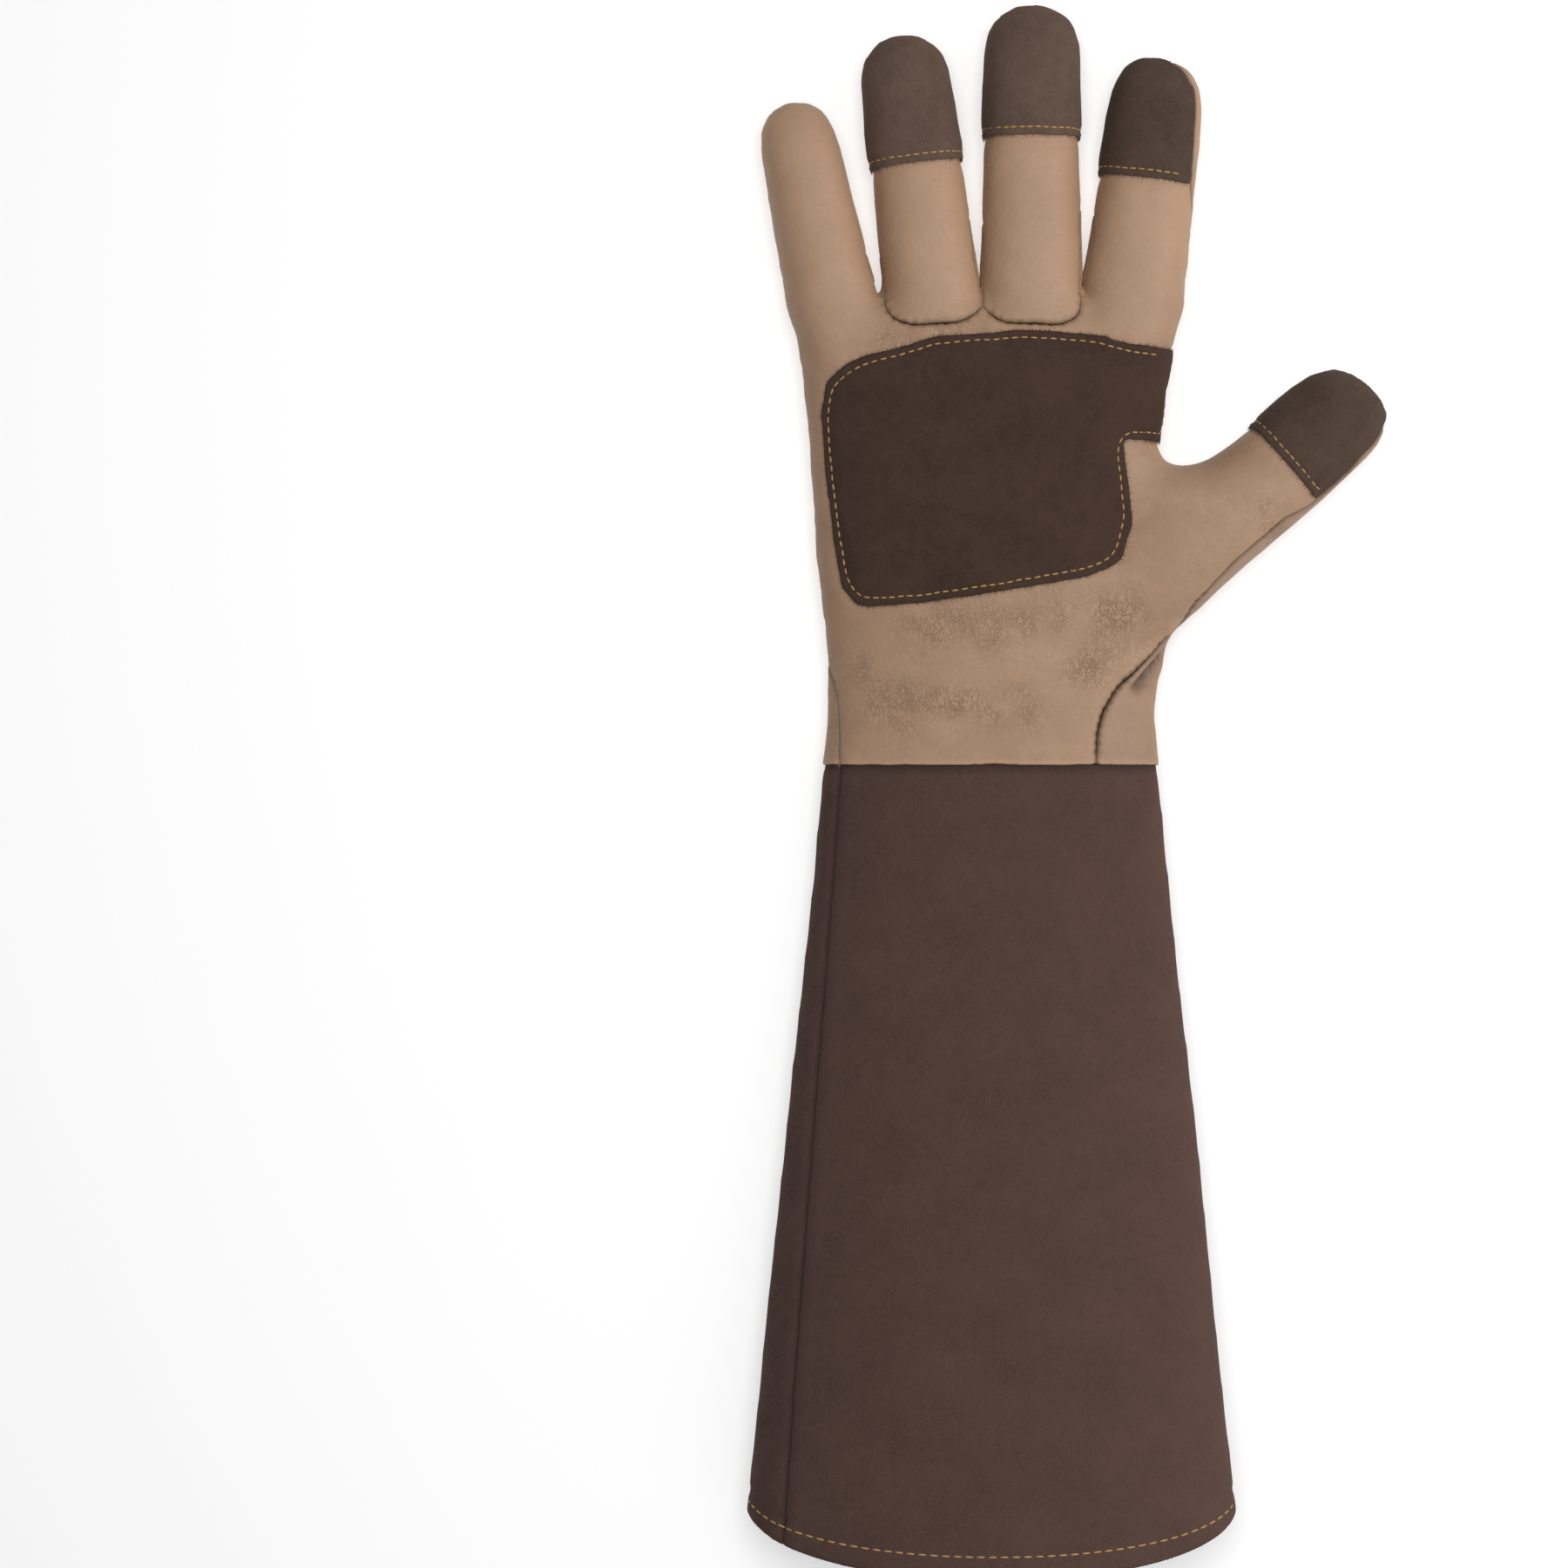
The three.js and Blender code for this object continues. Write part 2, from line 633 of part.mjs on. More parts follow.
// The tan leather hand
const halfPlane = (from, to) => block([point(-FAR, from), point(FAR, from), point(FAR, to), point(-FAR, to)]);
const cuffSide = halfPlane(-FAR, SEAM_GAP / 2);
const handSide = halfPlane(-SEAM_GAP / 2, FAR);
const hand = wholeHand(0).subtract(wholeHand(-LEATHER)).subtract(cuffSide);
const backTaken = backSpace(SEAM_GAP);
const thumbTaken = thumbSpace(SEAM_GAP);
const fronts = hand.subtract(backTaken).subtract(thumbTaken);

addPiece("back_panel", hand.intersect(backSpace(0)), TAN);
addPiece("thumb_back", hand.intersect(thumbSpace(0)).subtract(backTaken), TAN);
const ringTaken = block(widened(ringFrontOutline(), SEAM_GAP));
const middleTaken = block(widened(middleFrontOutline(), SEAM_GAP));
addPiece("palm_panel", fronts.subtract(ringTaken).subtract(middleTaken), TAN);
addPiece("ring_front", fronts.intersect(block(ringFrontOutline())), TAN);
addPiece("middle_front", fronts.intersect(block(middleFrontOutline())).subtract(ringTaken), TAN);

// Brown suede laid on the leather
const onLeather = (made) => made.subtract(backTaken).subtract(thumbTaken);
const palmSkin = wholeHand(SEAM_GAP + PATCH).subtract(wholeHand(SEAM_GAP)).subtract(lowerHalf(SEAM_GAP));
addPiece("palm_patch", onLeather(palmSkin.intersect(block(PATCH_OUTLINE.map(onPalm)))), BROWN);

// A cap covers the palm side of a digit's tip, down to an edge square to the digit
function addCap(name, part, length) {
  const edge = 1 - length / part.length;
  const outline = [part.at(edge, -2), part.at(edge, 2), part.at(1.3, 2), part.at(1.3, -2)];
  const skin = part.body(SEAM_GAP + PATCH).subtract(part.body(SEAM_GAP));
  addPiece(name, onLeather(skin.intersect(block(outline))), BROWN);
}

addCap("ring_cap", ring, CAP_LENGTH * FINGERS.ring.cap);
addCap("middle_cap", middle, CAP_LENGTH * FINGERS.middle.cap);
addCap("index_cap", index, CAP_LENGTH * FINGERS.index.cap);
addCap("thumb_cap", thumb, THUMB_CAP_LENGTH);

// The suede cuff, two panels with a turned-in hem
function hemOutline(back) {
  const half = HEM_WIDTH / 2 + LAP;
  const arc = new THREE.EllipseCurve(0, -CUFF_LENGTH + HEM_BOW + back, half, HEM_BOW, Math.PI, 2 * Math.PI);
  return [...arc.getPoints(HEM_POINTS), point(half, 0), point(-half, 0)];
}

// The cuff's seam line in from one side, as points from the wrist to past the hem
function cuffSeam(side) {
  const top = side * (WRIST_WIDTH / 2 - CUFF_SEAM_INSET);
  const bottom = side * (HEM_WIDTH / 2 - CUFF_SEAM_INSET - CUFF_SEAM_SPREAD);
  const slope = (bottom - top) / CUFF_LENGTH;
  return [point(top - slope * HEM_BOW, HEM_BOW), point(bottom + slope * HEM_BOW, -CUFF_LENGTH - HEM_BOW)];
}

function cuffBackSpace(grow) {
  const [ulnarTop, ulnarBottom] = cuffSeam(-1);
  const [radialTop, radialBottom] = cuffSeam(1);
  const ulnarEdge = [point(-FAR, ulnarTop.y), point(-FAR, ulnarBottom.y)];
  const under = block(widened([...ulnarEdge, radialBottom, radialTop], grow));
  const wrap = block(widened([...ulnarEdge, ulnarBottom, ulnarTop], grow));
  return under.intersect(lowerHalf(grow - SEAM_GAP)).add(wrap.subtract(lowerHalf(-SEAM_GAP - LAP - grow)));
}

const cuffWall = cuffTube(0).subtract(cuffTube(-SUEDE));
const turnedHem = cuffTube(LAP - SUEDE).subtract(cuffTube(-2 * SUEDE)).subtract(block(hemOutline(HEM_DEPTH)));
const cuff = cuffWall.add(turnedHem).intersect(block(hemOutline(0))).subtract(handSide);

addPiece("cuff_palm_panel", cuff.subtract(cuffBackSpace(SEAM_GAP)), BROWN);
addPiece("cuff_back_panel", cuff.intersect(cuffBackSpace(0)), BROWN);

// The origin is under the middle of the whole glove
const size = new THREE.Box3().setFromObject(glove);
glove.position.set(-(size.min.x + size.max.x) / 2, -(size.min.y + size.max.y) / 2, -size.min.z);

const gauntlet = new THREE.Group();
gauntlet.add(glove);

export default gauntlet;
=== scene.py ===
"""A rose pruning gauntlet for the right hand, in tan leather and brown suede."""

import contextlib
import functools
import math

import bmesh
import bpy
import numpy as np
from bpy.props import FloatProperty, FloatVectorProperty, IntProperty, PointerProperty
from mathutils import Matrix, Vector, kdtree, noise
from mathutils.bvhtree import BVHTree


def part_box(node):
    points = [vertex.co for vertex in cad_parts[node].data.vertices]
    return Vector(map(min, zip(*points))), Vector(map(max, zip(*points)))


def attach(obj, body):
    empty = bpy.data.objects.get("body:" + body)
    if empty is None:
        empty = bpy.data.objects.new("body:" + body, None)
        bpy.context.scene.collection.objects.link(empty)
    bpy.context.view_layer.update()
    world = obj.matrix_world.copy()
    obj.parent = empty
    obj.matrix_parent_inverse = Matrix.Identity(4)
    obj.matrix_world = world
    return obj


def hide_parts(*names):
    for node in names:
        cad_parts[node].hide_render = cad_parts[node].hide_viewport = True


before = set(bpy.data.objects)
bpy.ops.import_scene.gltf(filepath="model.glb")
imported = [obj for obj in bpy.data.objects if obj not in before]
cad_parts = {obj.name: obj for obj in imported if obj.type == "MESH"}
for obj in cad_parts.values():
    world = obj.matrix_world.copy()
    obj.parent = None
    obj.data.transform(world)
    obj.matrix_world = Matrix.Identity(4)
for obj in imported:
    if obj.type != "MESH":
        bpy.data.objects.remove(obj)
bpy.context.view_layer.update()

bl_info = {
    "name": "Rose pruning gauntlet",
    "version": (1, 0, 0),
    "blender": (4, 5, 0),
    "location": "3D View > Sidebar > Gauntlet",
    "description": "Builds a long leather pruning glove with suede patch, caps and cuff",
    "category": "Object",
}

# Sizes are in millimetres until a mesh is finished.
MM = 0.001

# Hand, fingers and thumb, as in the part
HAND_LENGTH = 129
PALM_WIDTH = 104.5
WRIST_WIDTH = 95.5
HAND_THICKNESS = 27
SPLIT_HEIGHT = 10
MIDDLE_LENGTH = 87.5
FINGER_WIDTH = 28
FINGER_THICKNESS = 21
FINGERTIP_ZONE = 15
THUMB_LENGTH = 103
THUMB_WIDTH = 30
THUMB_THICKNESS = 23
THUMB_LEAN = 49
TIP_FULLNESS = 2.45

# Cuff
CUFF_LENGTH = 228.5
HEM_WIDTH = 140.5
CUFF_THICKNESS = 42
CUFF_SPLIT_HEIGHT = 17
HEM_BOW = 18.7

# Section shape: 2 is an ellipse, more is squarer
TOP_FULLNESS = 2.25
BOTTOM_FULLNESS = 2.6
FLATTENED = 1.12

SEAM_GAP = 0.3

# How finely the tubes under the skin are made
TUBE_SIDES = 72
HAND_RINGS = 44
DIGIT_RINGS = 24
CUFF_RINGS = 40
TIP_DEGREES = range(10, 90, 8)

# Share of the hand's length at which it is as wide as the palm
KNUCKLES = 0.85

# How far the fingers are held apart while the skin is made, and how fast that sets in
FINGER_SPREAD = 5.5
SPREAD_RISE = 11

# Share of an edge within which a cut goes through the edge's own point
SNAP = 0.18

# No point lies lower than this
LOWEST = 0.02

# How far the search for panels, for seams and for covers goes
PANEL_REACH = 12
SEAM_REACH = 14
COVER_REACH = 8

# Edges nearer to a seam than this are halved, in one round for each number
HALVED_WITHIN = [2.9, 1.6]

# Rounds that smooth the covers' edges, before and after the halving
ROUGH_SMOOTHING = 2
COVER_SMOOTHING = 13

# Patches of fewer triangles take the panel or the cover round them
SMALLEST_PANEL = 500
SMALLEST_COVER = 150

# Seams and folds, in millimetres; places are measured from the middle of the wrist seam
HEM_TURN = 6.6
COVER_SEWN = 2.3
CROTCHES = [-31.5, -2.2, 26.3]
GATHER_HEIGHT = 33
GATHER_PITCH = 7.7
GATHER_DEPTH = 0.75
ZIGZAG_HEIGHT = 3.2
PLEAT = {"start": (55.0, 40.0), "end": (38.0, 20.0), "ridge": 1.1, "pocket": 3.6}
THUMB_DENT = {"start": (44.0, 71.0), "end": (33.0, 66.0), "wide": 3.2, "deep": 0.7}
CREASES = [
    {"start": (-19, 39), "end": (36, 45), "wide": 6.0},
    {"start": (-38, 26), "end": (-22, 11), "wide": 6.0},
    {"start": (-34, 16), "end": (8, 16), "wide": 5.0},
    {"start": (38, 40), "end": (28, 27), "wide": 5.5},
    {"start": (79, 70), "end": (83, 64), "wide": 4.5},
    {"start": (-29, 120), "end": (-4, 122), "wide": 3.5},
]

# The strip of the thumb's back that shows beside its outline, by the way along the thumb
THUMB_STRIP = {
    "wide": 3.0,
    "across": (0, 6),
    "begins": (4, 14),
    "ends": (58, 69),
    "wider": {"share": 0.3, "at": 12.5, "reach": 2.5},
    "narrower": {"share": 0.42, "at": 17.9, "reach": 3.8},
}

# Soft dents in the leather: the width of a bump, its seed and height, and where it lies
DENTS = [
    {"wide": 26, "seed": 1, "high": 0.5, "top_only": True, "on_hand": True},
    {"wide": 11, "seed": 2, "high": 0.22, "top_only": False, "on_hand": True},
    {"wide": 70, "seed": 3, "high": 0.7, "top_only": True, "on_hand": False},
    {"wide": 24, "seed": 4, "high": 0.16, "top_only": False, "on_hand": False},
]

# Covers: how far they lie off the skin, and their wall
COVER_LIFT = 1.15
COVER_WALL = 0.95

# The nap: steps along a border, rounds that smooth it, steps that share out all the fibres,
# and a fibre's width
NAP_SPACING = 0.3
NAP_SMOOTHING = 6
NAP_BORDER = 4200
FIBRE_WIDTH = 0.1

# The photo's frame and the camera, in metres and millimetres of lens
FRAME_WIDTH = 0.45
FRAME_MIDDLE = -0.08075
LENS = 135
SENSOR_WIDTH = 36

# Shares of HAND_LENGTH, of the half width and of HAND_THICKNESS
HAND_SECTIONS = [
    {"along": -0.08, "left": 1.0, "right": 1.0, "high": 0.93, "low": 0.0},
    {"along": 0.0, "left": 1.0, "right": 1.0, "high": 0.93, "low": 0.0},
    {"along": 0.15, "left": 0.963, "right": 0.978, "high": 0.9, "low": 0.05},
    {"along": 0.26, "left": 0.961, "right": 1.03, "high": 0.9, "low": 0.1},
    {"along": 0.38, "left": 0.978, "right": 1.0, "high": 0.97, "low": 0.03},
    {"along": 0.47, "left": 0.996, "right": 0.926, "high": 1.0, "low": 0.0},
    {"along": 0.7, "left": 1.007, "right": 0.939, "high": 1.0, "low": 0.0},
    {"along": 0.85, "left": 1.029, "right": 0.971, "high": 0.94, "low": 0.0},
    {"along": 0.94, "left": 1.05, "right": 0.995, "high": 0.84, "low": 0.01},
    {"along": 0.985, "left": 1.0, "right": 0.95, "high": 0.74, "low": 0.05},
    {"along": 1.015, "left": 0.9, "right": 0.85, "high": 0.6, "low": 0.12},
]

# Shares of PALM_WIDTH, MIDDLE_LENGTH and FINGER_WIDTH; lean in degrees
FINGERS = [
    {"root": -0.426, "reach": 0.702, "wide": 0.89, "lean": -12},
    {"root": -0.154, "reach": 0.906, "wide": 0.955, "lean": -7},
    {"root": 0.112, "reach": 1.0, "wide": 1.01, "lean": 0},
    {"root": 0.382, "reach": 0.834, "wide": 1.02, "lean": 7.4},
]

# Shares of the finger's length and width and of FINGER_THICKNESS
FINGER_SECTIONS = [
    {"along": -0.38, "wide": 0.76, "high": 0.93, "low": 0.06},
    {"along": -0.1, "wide": 0.95, "high": 1.0, "low": 0.02},
    {"along": 0.0, "wide": 1.03, "high": 1.02, "low": 0.0},
    {"along": 0.3, "wide": 1.01, "high": 1.0, "low": 0.0},
    {"along": 0.5, "wide": 0.98, "high": 0.975, "low": 0.068},
    {"along": 0.6, "wide": 0.96, "high": 0.96, "low": 0.07},
    {"along": 0.85, "wide": 0.9, "high": 0.91, "low": 0.085},
    {"along": 1.0, "wide": 0.88, "high": 0.88, "low": 0.11},
]

THUMB_ROOT = {"across": 0.3, "along": 0.299}

# Shares of the thumb's length, THUMB_WIDTH and THUMB_THICKNESS
THUMB_SECTIONS = [
    {"along": 0.0, "upper": 0.4, "lower": 0.46, "high": 0.94, "low": 0.08},
    {"along": 0.22, "upper": 0.75, "lower": 0.48, "high": 1.04, "low": 0.04},
    {"along": 0.36, "upper": 0.95, "lower": 0.46, "high": 1.06, "low": 0.02},
    {"along": 0.42, "upper": 0.82, "lower": 0.46, "high": 1.04, "low": 0.02},
    {"along": 0.48, "upper": 0.63, "lower": 0.46, "high": 1.03, "low": 0.02},
    {"along": 0.56, "upper": 0.55, "lower": 0.46, "high": 1.0, "low": 0.02},
    {"along": 0.8, "upper": 0.52, "lower": 0.44, "high": 0.96, "low": 0.02},
    {"along": 1.0, "upper": 0.47, "lower": 0.42, "high": 0.9, "low": 0.08},
]

# Shares of CUFF_LENGTH and of the way from the wrist's width and height to the hem's
CUFF_SECTIONS = [
    {"along": 0.0, "wide": 0.0, "high": 0.0},
    {"along": 0.2, "wide": 0.2, "high": 0.16},
    {"along": 0.45, "wide": 0.47, "high": 0.42},
    {"along": 0.7, "wide": 0.735, "high": 0.7},
    {"along": 0.95, "wide": 1.0, "high": 1.0},
    {"along": 1.1, "wide": 1.16, "high": 1.15},
]

HAND_PANELS = ["back_panel", "thumb_back", "palm_panel", "ring_front", "middle_front"]
CUFF_PANELS = ["cuff_palm_panel", "cuff_back_panel"]
PANELS = HAND_PANELS + CUFF_PANELS
CAPS = ["ring_cap", "middle_cap", "index_cap", "thumb_cap"]
DARK_CAPS = ["index_cap", "thumb_cap"]
COVERS = ["palm_patch"] + CAPS


def cuff_middle():
    """The middle of the wrist seam in the part's frame."""
    low_a, high_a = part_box("cuff_palm_panel")
    low_b, high_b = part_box("cuff_back_panel")
    middle = (min(low_a.x, low_b.x) + max(high_a.x, high_b.x)) / 2
    return Vector((middle / MM, max(high_a.y, high_b.y) / MM + SEAM_GAP / 2, 0))


WRIST = cuff_middle()


# Shaping the skin


def smooth_value(rows, column, place):
    """The value of a table's column at a place along it, on a smooth curve through its rows."""
    at = np.array([row["along"] for row in rows])
    values = np.array([row[column] for row in rows])
    slopes = np.gradient(values, at)
    i = int(np.clip(np.searchsorted(at, place) - 1, 0, len(at) - 2))
    span = at[i + 1] - at[i]
    t = float(np.clip((place - at[i]) / span, 0, 1))
    rise = (2 * t**3 - 3 * t**2 + 1) * values[i] + (3 * t**2 - 2 * t**3) * values[i + 1]
    bend = (t**3 - 2 * t**2 + t) * slopes[i] + (t**3 - t**2) * slopes[i + 1]
    return float(rise + span * bend)


def signed_power(value, power):
    return math.copysign(abs(value) ** power, value)


def on_section(ring, side, up):
    """The point of a section that a point of the unit circle goes to."""
    power = 2 / (TOP_FULLNESS if up >= 0 else BOTTOM_FULLNESS)
    across = signed_power(side, power) * (ring["right"] if side >= 0 else ring["left"])
    lean = math.radians(ring["lean"])
    if up >= 0:
        height = ring["mid"] + (ring["high"] - ring["mid"]) * up**power
    else:
        depth = (ring["mid"] - ring["low"]) * FLATTENED * (-up) ** power
        height = max(ring["low"], ring["mid"] - depth)
    x = ring["x"] + across * math.cos(lean)
    return Vector((x, ring["y"] - across * math.sin(lean), height))


def add_tube(bm, rings):
    """A closed tube through a list of sections, made of bridged circles. Gives its points."""
    loops = []
    made = []
    for ring in rings:
        circle = bmesh.ops.create_circle(bm, cap_ends=False, radius=1, segments=TUBE_SIDES)["verts"]
        # A dict and not a set, because its order is the same in each run
        loops.append(list(dict.fromkeys(edge for vert in circle for edge in vert.link_edges)))
        made += circle
        for vert in circle:
            vert.co = on_section(ring, vert.co.x, vert.co.y)
    for before, after in zip(loops, loops[1:]):
        bmesh.ops.bridge_loops(bm, edges=before + after)
    bmesh.ops.edgeloop_fill(bm, edges=loops[0])
    bmesh.ops.edgeloop_fill(bm, edges=loops[-1])
    return made


def half_width(along):
    share = min(max(along / KNUCKLES, 0), 1)
    return (WRIST_WIDTH + (PALM_WIDTH - WRIST_WIDTH) * share) / 2


def hand_rings():
    rings = []
    for along in np.linspace(HAND_SECTIONS[0]["along"], HAND_SECTIONS[-1]["along"], HAND_RINGS):
        columns = ("left", "right", "low", "high")
        left, right, low, high = (smooth_value(HAND_SECTIONS, name, along) for name in columns)
        rings.append({
            "x": WRIST.x,
            "y": WRIST.y + along * HAND_LENGTH,
            "lean": 0,
            "left": left * half_width(along),
            "right": right * half_width(along),
            "low": max(0, low * HAND_THICKNESS),
            "mid": SPLIT_HEIGHT,
            "high": high * HAND_THICKNESS,
        })
    return rings


def digit_rings(root, lean, length, section_at, first):
    """Sections along a straight finger or thumb and round its tip."""
    angle = math.radians(lean)
    tip_start = 1 - FINGERTIP_ZONE / length
    places = [(along, 1.0) for along in np.linspace(first, tip_start, DIGIT_RINGS)]
    power = 2 / TIP_FULLNESS
    for degrees in TIP_DEGREES:
        turn = math.radians(degrees)
        along = tip_start + (1 - tip_start) * math.sin(turn) ** power
        places.append((along, math.cos(turn) ** power))
    rings = []
    for along, share in places:
        section = section_at(min(along, 1))
        rings.append({
            "x": root.x + math.sin(angle) * along * length,
            "y": root.y + math.cos(angle) * along * length,
            "lean": lean,
            "left": section["left"] * share,
            "right": section["right"] * share,
            "low": SPLIT_HEIGHT - (SPLIT_HEIGHT - section["low"]) * share,
            "mid": SPLIT_HEIGHT,
            "high": SPLIT_HEIGHT + (section["high"] - SPLIT_HEIGHT) * share,
        })
    return rings


def finger_rings(finger):
    def section_at(along):
        half = smooth_value(FINGER_SECTIONS, "wide", along) * finger["wide"] * FINGER_WIDTH / 2
        return {
            "left": half,
            "right": half,
            "low": max(0, smooth_value(FINGER_SECTIONS, "low", along) * FINGER_THICKNESS),
            "high": smooth_value(FINGER_SECTIONS, "high", along) * FINGER_THICKNESS,
        }

    root = WRIST + Vector((finger["root"] * PALM_WIDTH, HAND_LENGTH, 0))
    first = FINGER_SECTIONS[0]["along"]
    return digit_rings(root, finger["lean"], finger["reach"] * MIDDLE_LENGTH, section_at, first)


def thumb_rings():
    def section_at(along):
        return {
            "left": smooth_value(THUMB_SECTIONS, "upper", along) * THUMB_WIDTH,
            "right": smooth_value(THUMB_SECTIONS, "lower", along) * THUMB_WIDTH,
            "low": max(0, smooth_value(THUMB_SECTIONS, "low", along) * THUMB_THICKNESS),
            "high": smooth_value(THUMB_SECTIONS, "high", along) * THUMB_THICKNESS,
        }

    x, y = THUMB_ROOT["across"] * PALM_WIDTH, THUMB_ROOT["along"] * HAND_LENGTH
    return digit_rings(WRIST + Vector((x, y, 0)), THUMB_LEAN, THUMB_LENGTH, section_at, 0)


def cuff_rings():
    wrist_height = smooth_value(HAND_SECTIONS, "high", 0) * HAND_THICKNESS
    rings = []
    for along in np.linspace(0, CUFF_SECTIONS[-1]["along"], CUFF_RINGS):
        wide = smooth_value(CUFF_SECTIONS, "wide", along)
        high = smooth_value(CUFF_SECTIONS, "high", along)
        half = (WRIST_WIDTH + (HEM_WIDTH - WRIST_WIDTH) * wide) / 2
        rings.append({
            "x": WRIST.x,
            "y": WRIST.y - along * CUFF_LENGTH,
            "lean": 0,
            "left": half,
            "right": half,
            "low": 0,
            "mid": SPLIT_HEIGHT + (CUFF_SPLIT_HEIGHT - SPLIT_HEIGHT) * high,
            "high": wrist_height + (CUFF_THICKNESS - wrist_height) * high,
        })
    return rings


def spread_at(k, y):
    """How far a finger is held away from its neighbours while the skin is made, by height."""
    crotch = WRIST.y + HAND_LENGTH
    from_middle = k - (len(FINGERS) - 1) / 2
    return FINGER_SPREAD * from_middle * ramp(y, crotch, crotch + SPREAD_RISE)


def close_fingers(mesh):
    """Brings the fingers back to their places."""
    points = points_of(mesh)
    above = points[:, 1] - WRIST.y - HAND_LENGTH
    gaps = []
    for k, finger in enumerate(FINGERS):
        lean = math.tan(math.radians(finger["lean"]))
        axis = WRIST.x + finger["root"] * PALM_WIDTH + above * lean
        gaps.append(np.abs(points[:, 0] - axis - spread_at(k, points[:, 1])) / finger["wide"])
    nearest = np.argmin(gaps, axis=0)
    points[:, 0] -= spread_at(nearest, points[:, 1]) * (above > 0)
    set_points(mesh, points)


def one_skin(voxel):
    """The tubes of hand, digits and cuff melted into one closed skin."""
    bm = bmesh.new()
    for rings in [hand_rings(), cuff_rings(), thumb_rings()]:
        add_tube(bm, rings)
    for k, finger in enumerate(FINGERS):
        for vert in add_tube(bm, finger_rings(finger)):
            vert.co.x += float(spread_at(k, vert.co.y))
    bmesh.ops.recalc_face_normals(bm, faces=bm.faces[:])
    mesh = bpy.data.meshes.new("skin")
    bm.to_mesh(mesh)
    bm.free()
    block = bpy.data.objects.new("skin_block", mesh)
    bpy.context.scene.collection.objects.link(block)
    remesh = block.modifiers.new("Remesh", "REMESH")
    remesh.mode = "VOXEL"
    remesh.voxel_size = voxel
    depsgraph = bpy.context.evaluated_depsgraph_get()
    made = bpy.data.meshes.new_from_object(block.evaluated_get(depsgraph))
    bpy.data.objects.remove(block)
    bpy.data.meshes.remove(mesh)
    with edited(made) as bm:
        bmesh.ops.triangulate(bm, faces=bm.faces[:])
    return made


@contextlib.contextmanager
def edited(mesh):
    """A bmesh of a mesh, which is written back at the end."""
    bm = bmesh.new()
    bm.from_mesh(mesh)
    bm.edges.ensure_lookup_table()
    bm.faces.ensure_lookup_table()
    yield bm
    bm.to_mesh(mesh)
    bm.free()


def points_of(mesh):
    points = np.empty(len(mesh.vertices) * 3, np.float32)
    mesh.vertices.foreach_get("co", points)
    return points.reshape(-1, 3).astype(float)


def set_points(mesh, points):
    mesh.vertices.foreach_set("co", points.astype(np.float32).ravel())
    mesh.update()


def above_floor(points):
    points[:, 2] = np.maximum(points[:, 2], LOWEST)
    return points


def from_wrist(points):
    """Points as seen from the middle of the wrist seam."""
    return points - np.array(WRIST)


def moved_out(mesh, lift):
    """The mesh's points after each went outwards by its own lift."""
    return above_floor(points_of(mesh) + normals_of(mesh) * lift[:, None])


def normals_of(mesh):
    """The outward direction at each point, from the triangles round it weighted by their areas."""
    points = points_of(mesh)
    corners = corners_of(mesh)
    first, second, third = (points[corners[:, k]] for k in range(3))
    facing = np.cross(second - first, third - first)
    normals = np.zeros_like(points)
    for k in range(3):
        for axis in range(3):
            normals[:, axis] += np.bincount(corners[:, k], facing[:, axis], len(points))
    return normals / np.maximum(np.linalg.norm(normals, axis=1), 1e-12)[:, None]


def edges_of(mesh):
    edges = np.empty(len(mesh.edges) * 2, np.int32)
    mesh.edges.foreach_get("vertices", edges)
    return edges.reshape(-1, 2)


def corners_of(mesh):
    """The three points of every triangle."""
    corners = np.empty(len(mesh.loops), np.int32)
    mesh.loops.foreach_get("vertex_index", corners)
    return corners.reshape(-1, 3)


def field_of(mesh, name):
    values = np.empty(len(mesh.vertices), np.float32)
    mesh.attributes[name].data.foreach_get("value", values)
    return values.astype(float)


def set_field(mesh, name, values):
    attribute = mesh.attributes.get(name) or mesh.attributes.new(name, "FLOAT", "POINT")
    attribute.data.foreach_set("value", np.asarray(values, np.float32))


def blurred(values, edges, rounds, weight=0.7):
    """Values after each has moved towards the mean of its neighbours a number of times."""
    values = values if values.ndim == 2 else values[:, None]
    size = len(values)
    count = np.maximum(np.bincount(edges.ravel(), minlength=size), 1)[:, None]
    a, b = edges.T
    for _ in range(rounds):
        total = np.empty_like(values)
        for k in range(values.shape[1]):
            column = values[:, k]
            total[:, k] = np.bincount(a, column[b], size) + np.bincount(b, column[a], size)
        values = values + (total / count - values) * weight
    return values


def ramp(values, start, end):
    """0 before start, 1 after end, smooth between."""
    t = np.clip((values - start) / (end - start), 0, 1)
    return t * t * (3 - 2 * t)


def hill(offset, width):
    """1 where the offset is zero, falling smoothly to both sides over about the width."""
    return np.exp(-((offset / width) ** 2))


def noise_at(points, scale, seed):
    """Smooth noise from about -1 to 1, whose bumps are scale wide."""
    shift = Vector((seed * 17.3, seed * 9.1, seed * 5.7))
    return np.array([noise.noise(Vector(point) / scale + shift) for point in points])


def crease_distance(points, start, end):
    """How far points lie from a straight line seen from above, and how far along it."""
    start = np.array(start, float)
    line = np.array(end) - start
    along = np.clip(((points[:, :2] - start) @ line) / (line @ line), 0, 1)
    return np.linalg.norm(points[:, :2] - (start + along[:, None] * line), axis=1), along


def beyond_pleat(hand):
    """How far points lie beyond the pleat, below zero on its ridge, and how far along it."""
    distance, along = crease_distance(hand, PLEAT["start"], PLEAT["end"])
    line = np.array(PLEAT["end"]) - PLEAT["start"]
    offset = hand[:, :2] - PLEAT["start"]
    return np.sign(line[0] * offset[:, 1] - line[1] * offset[:, 0]) * distance, along


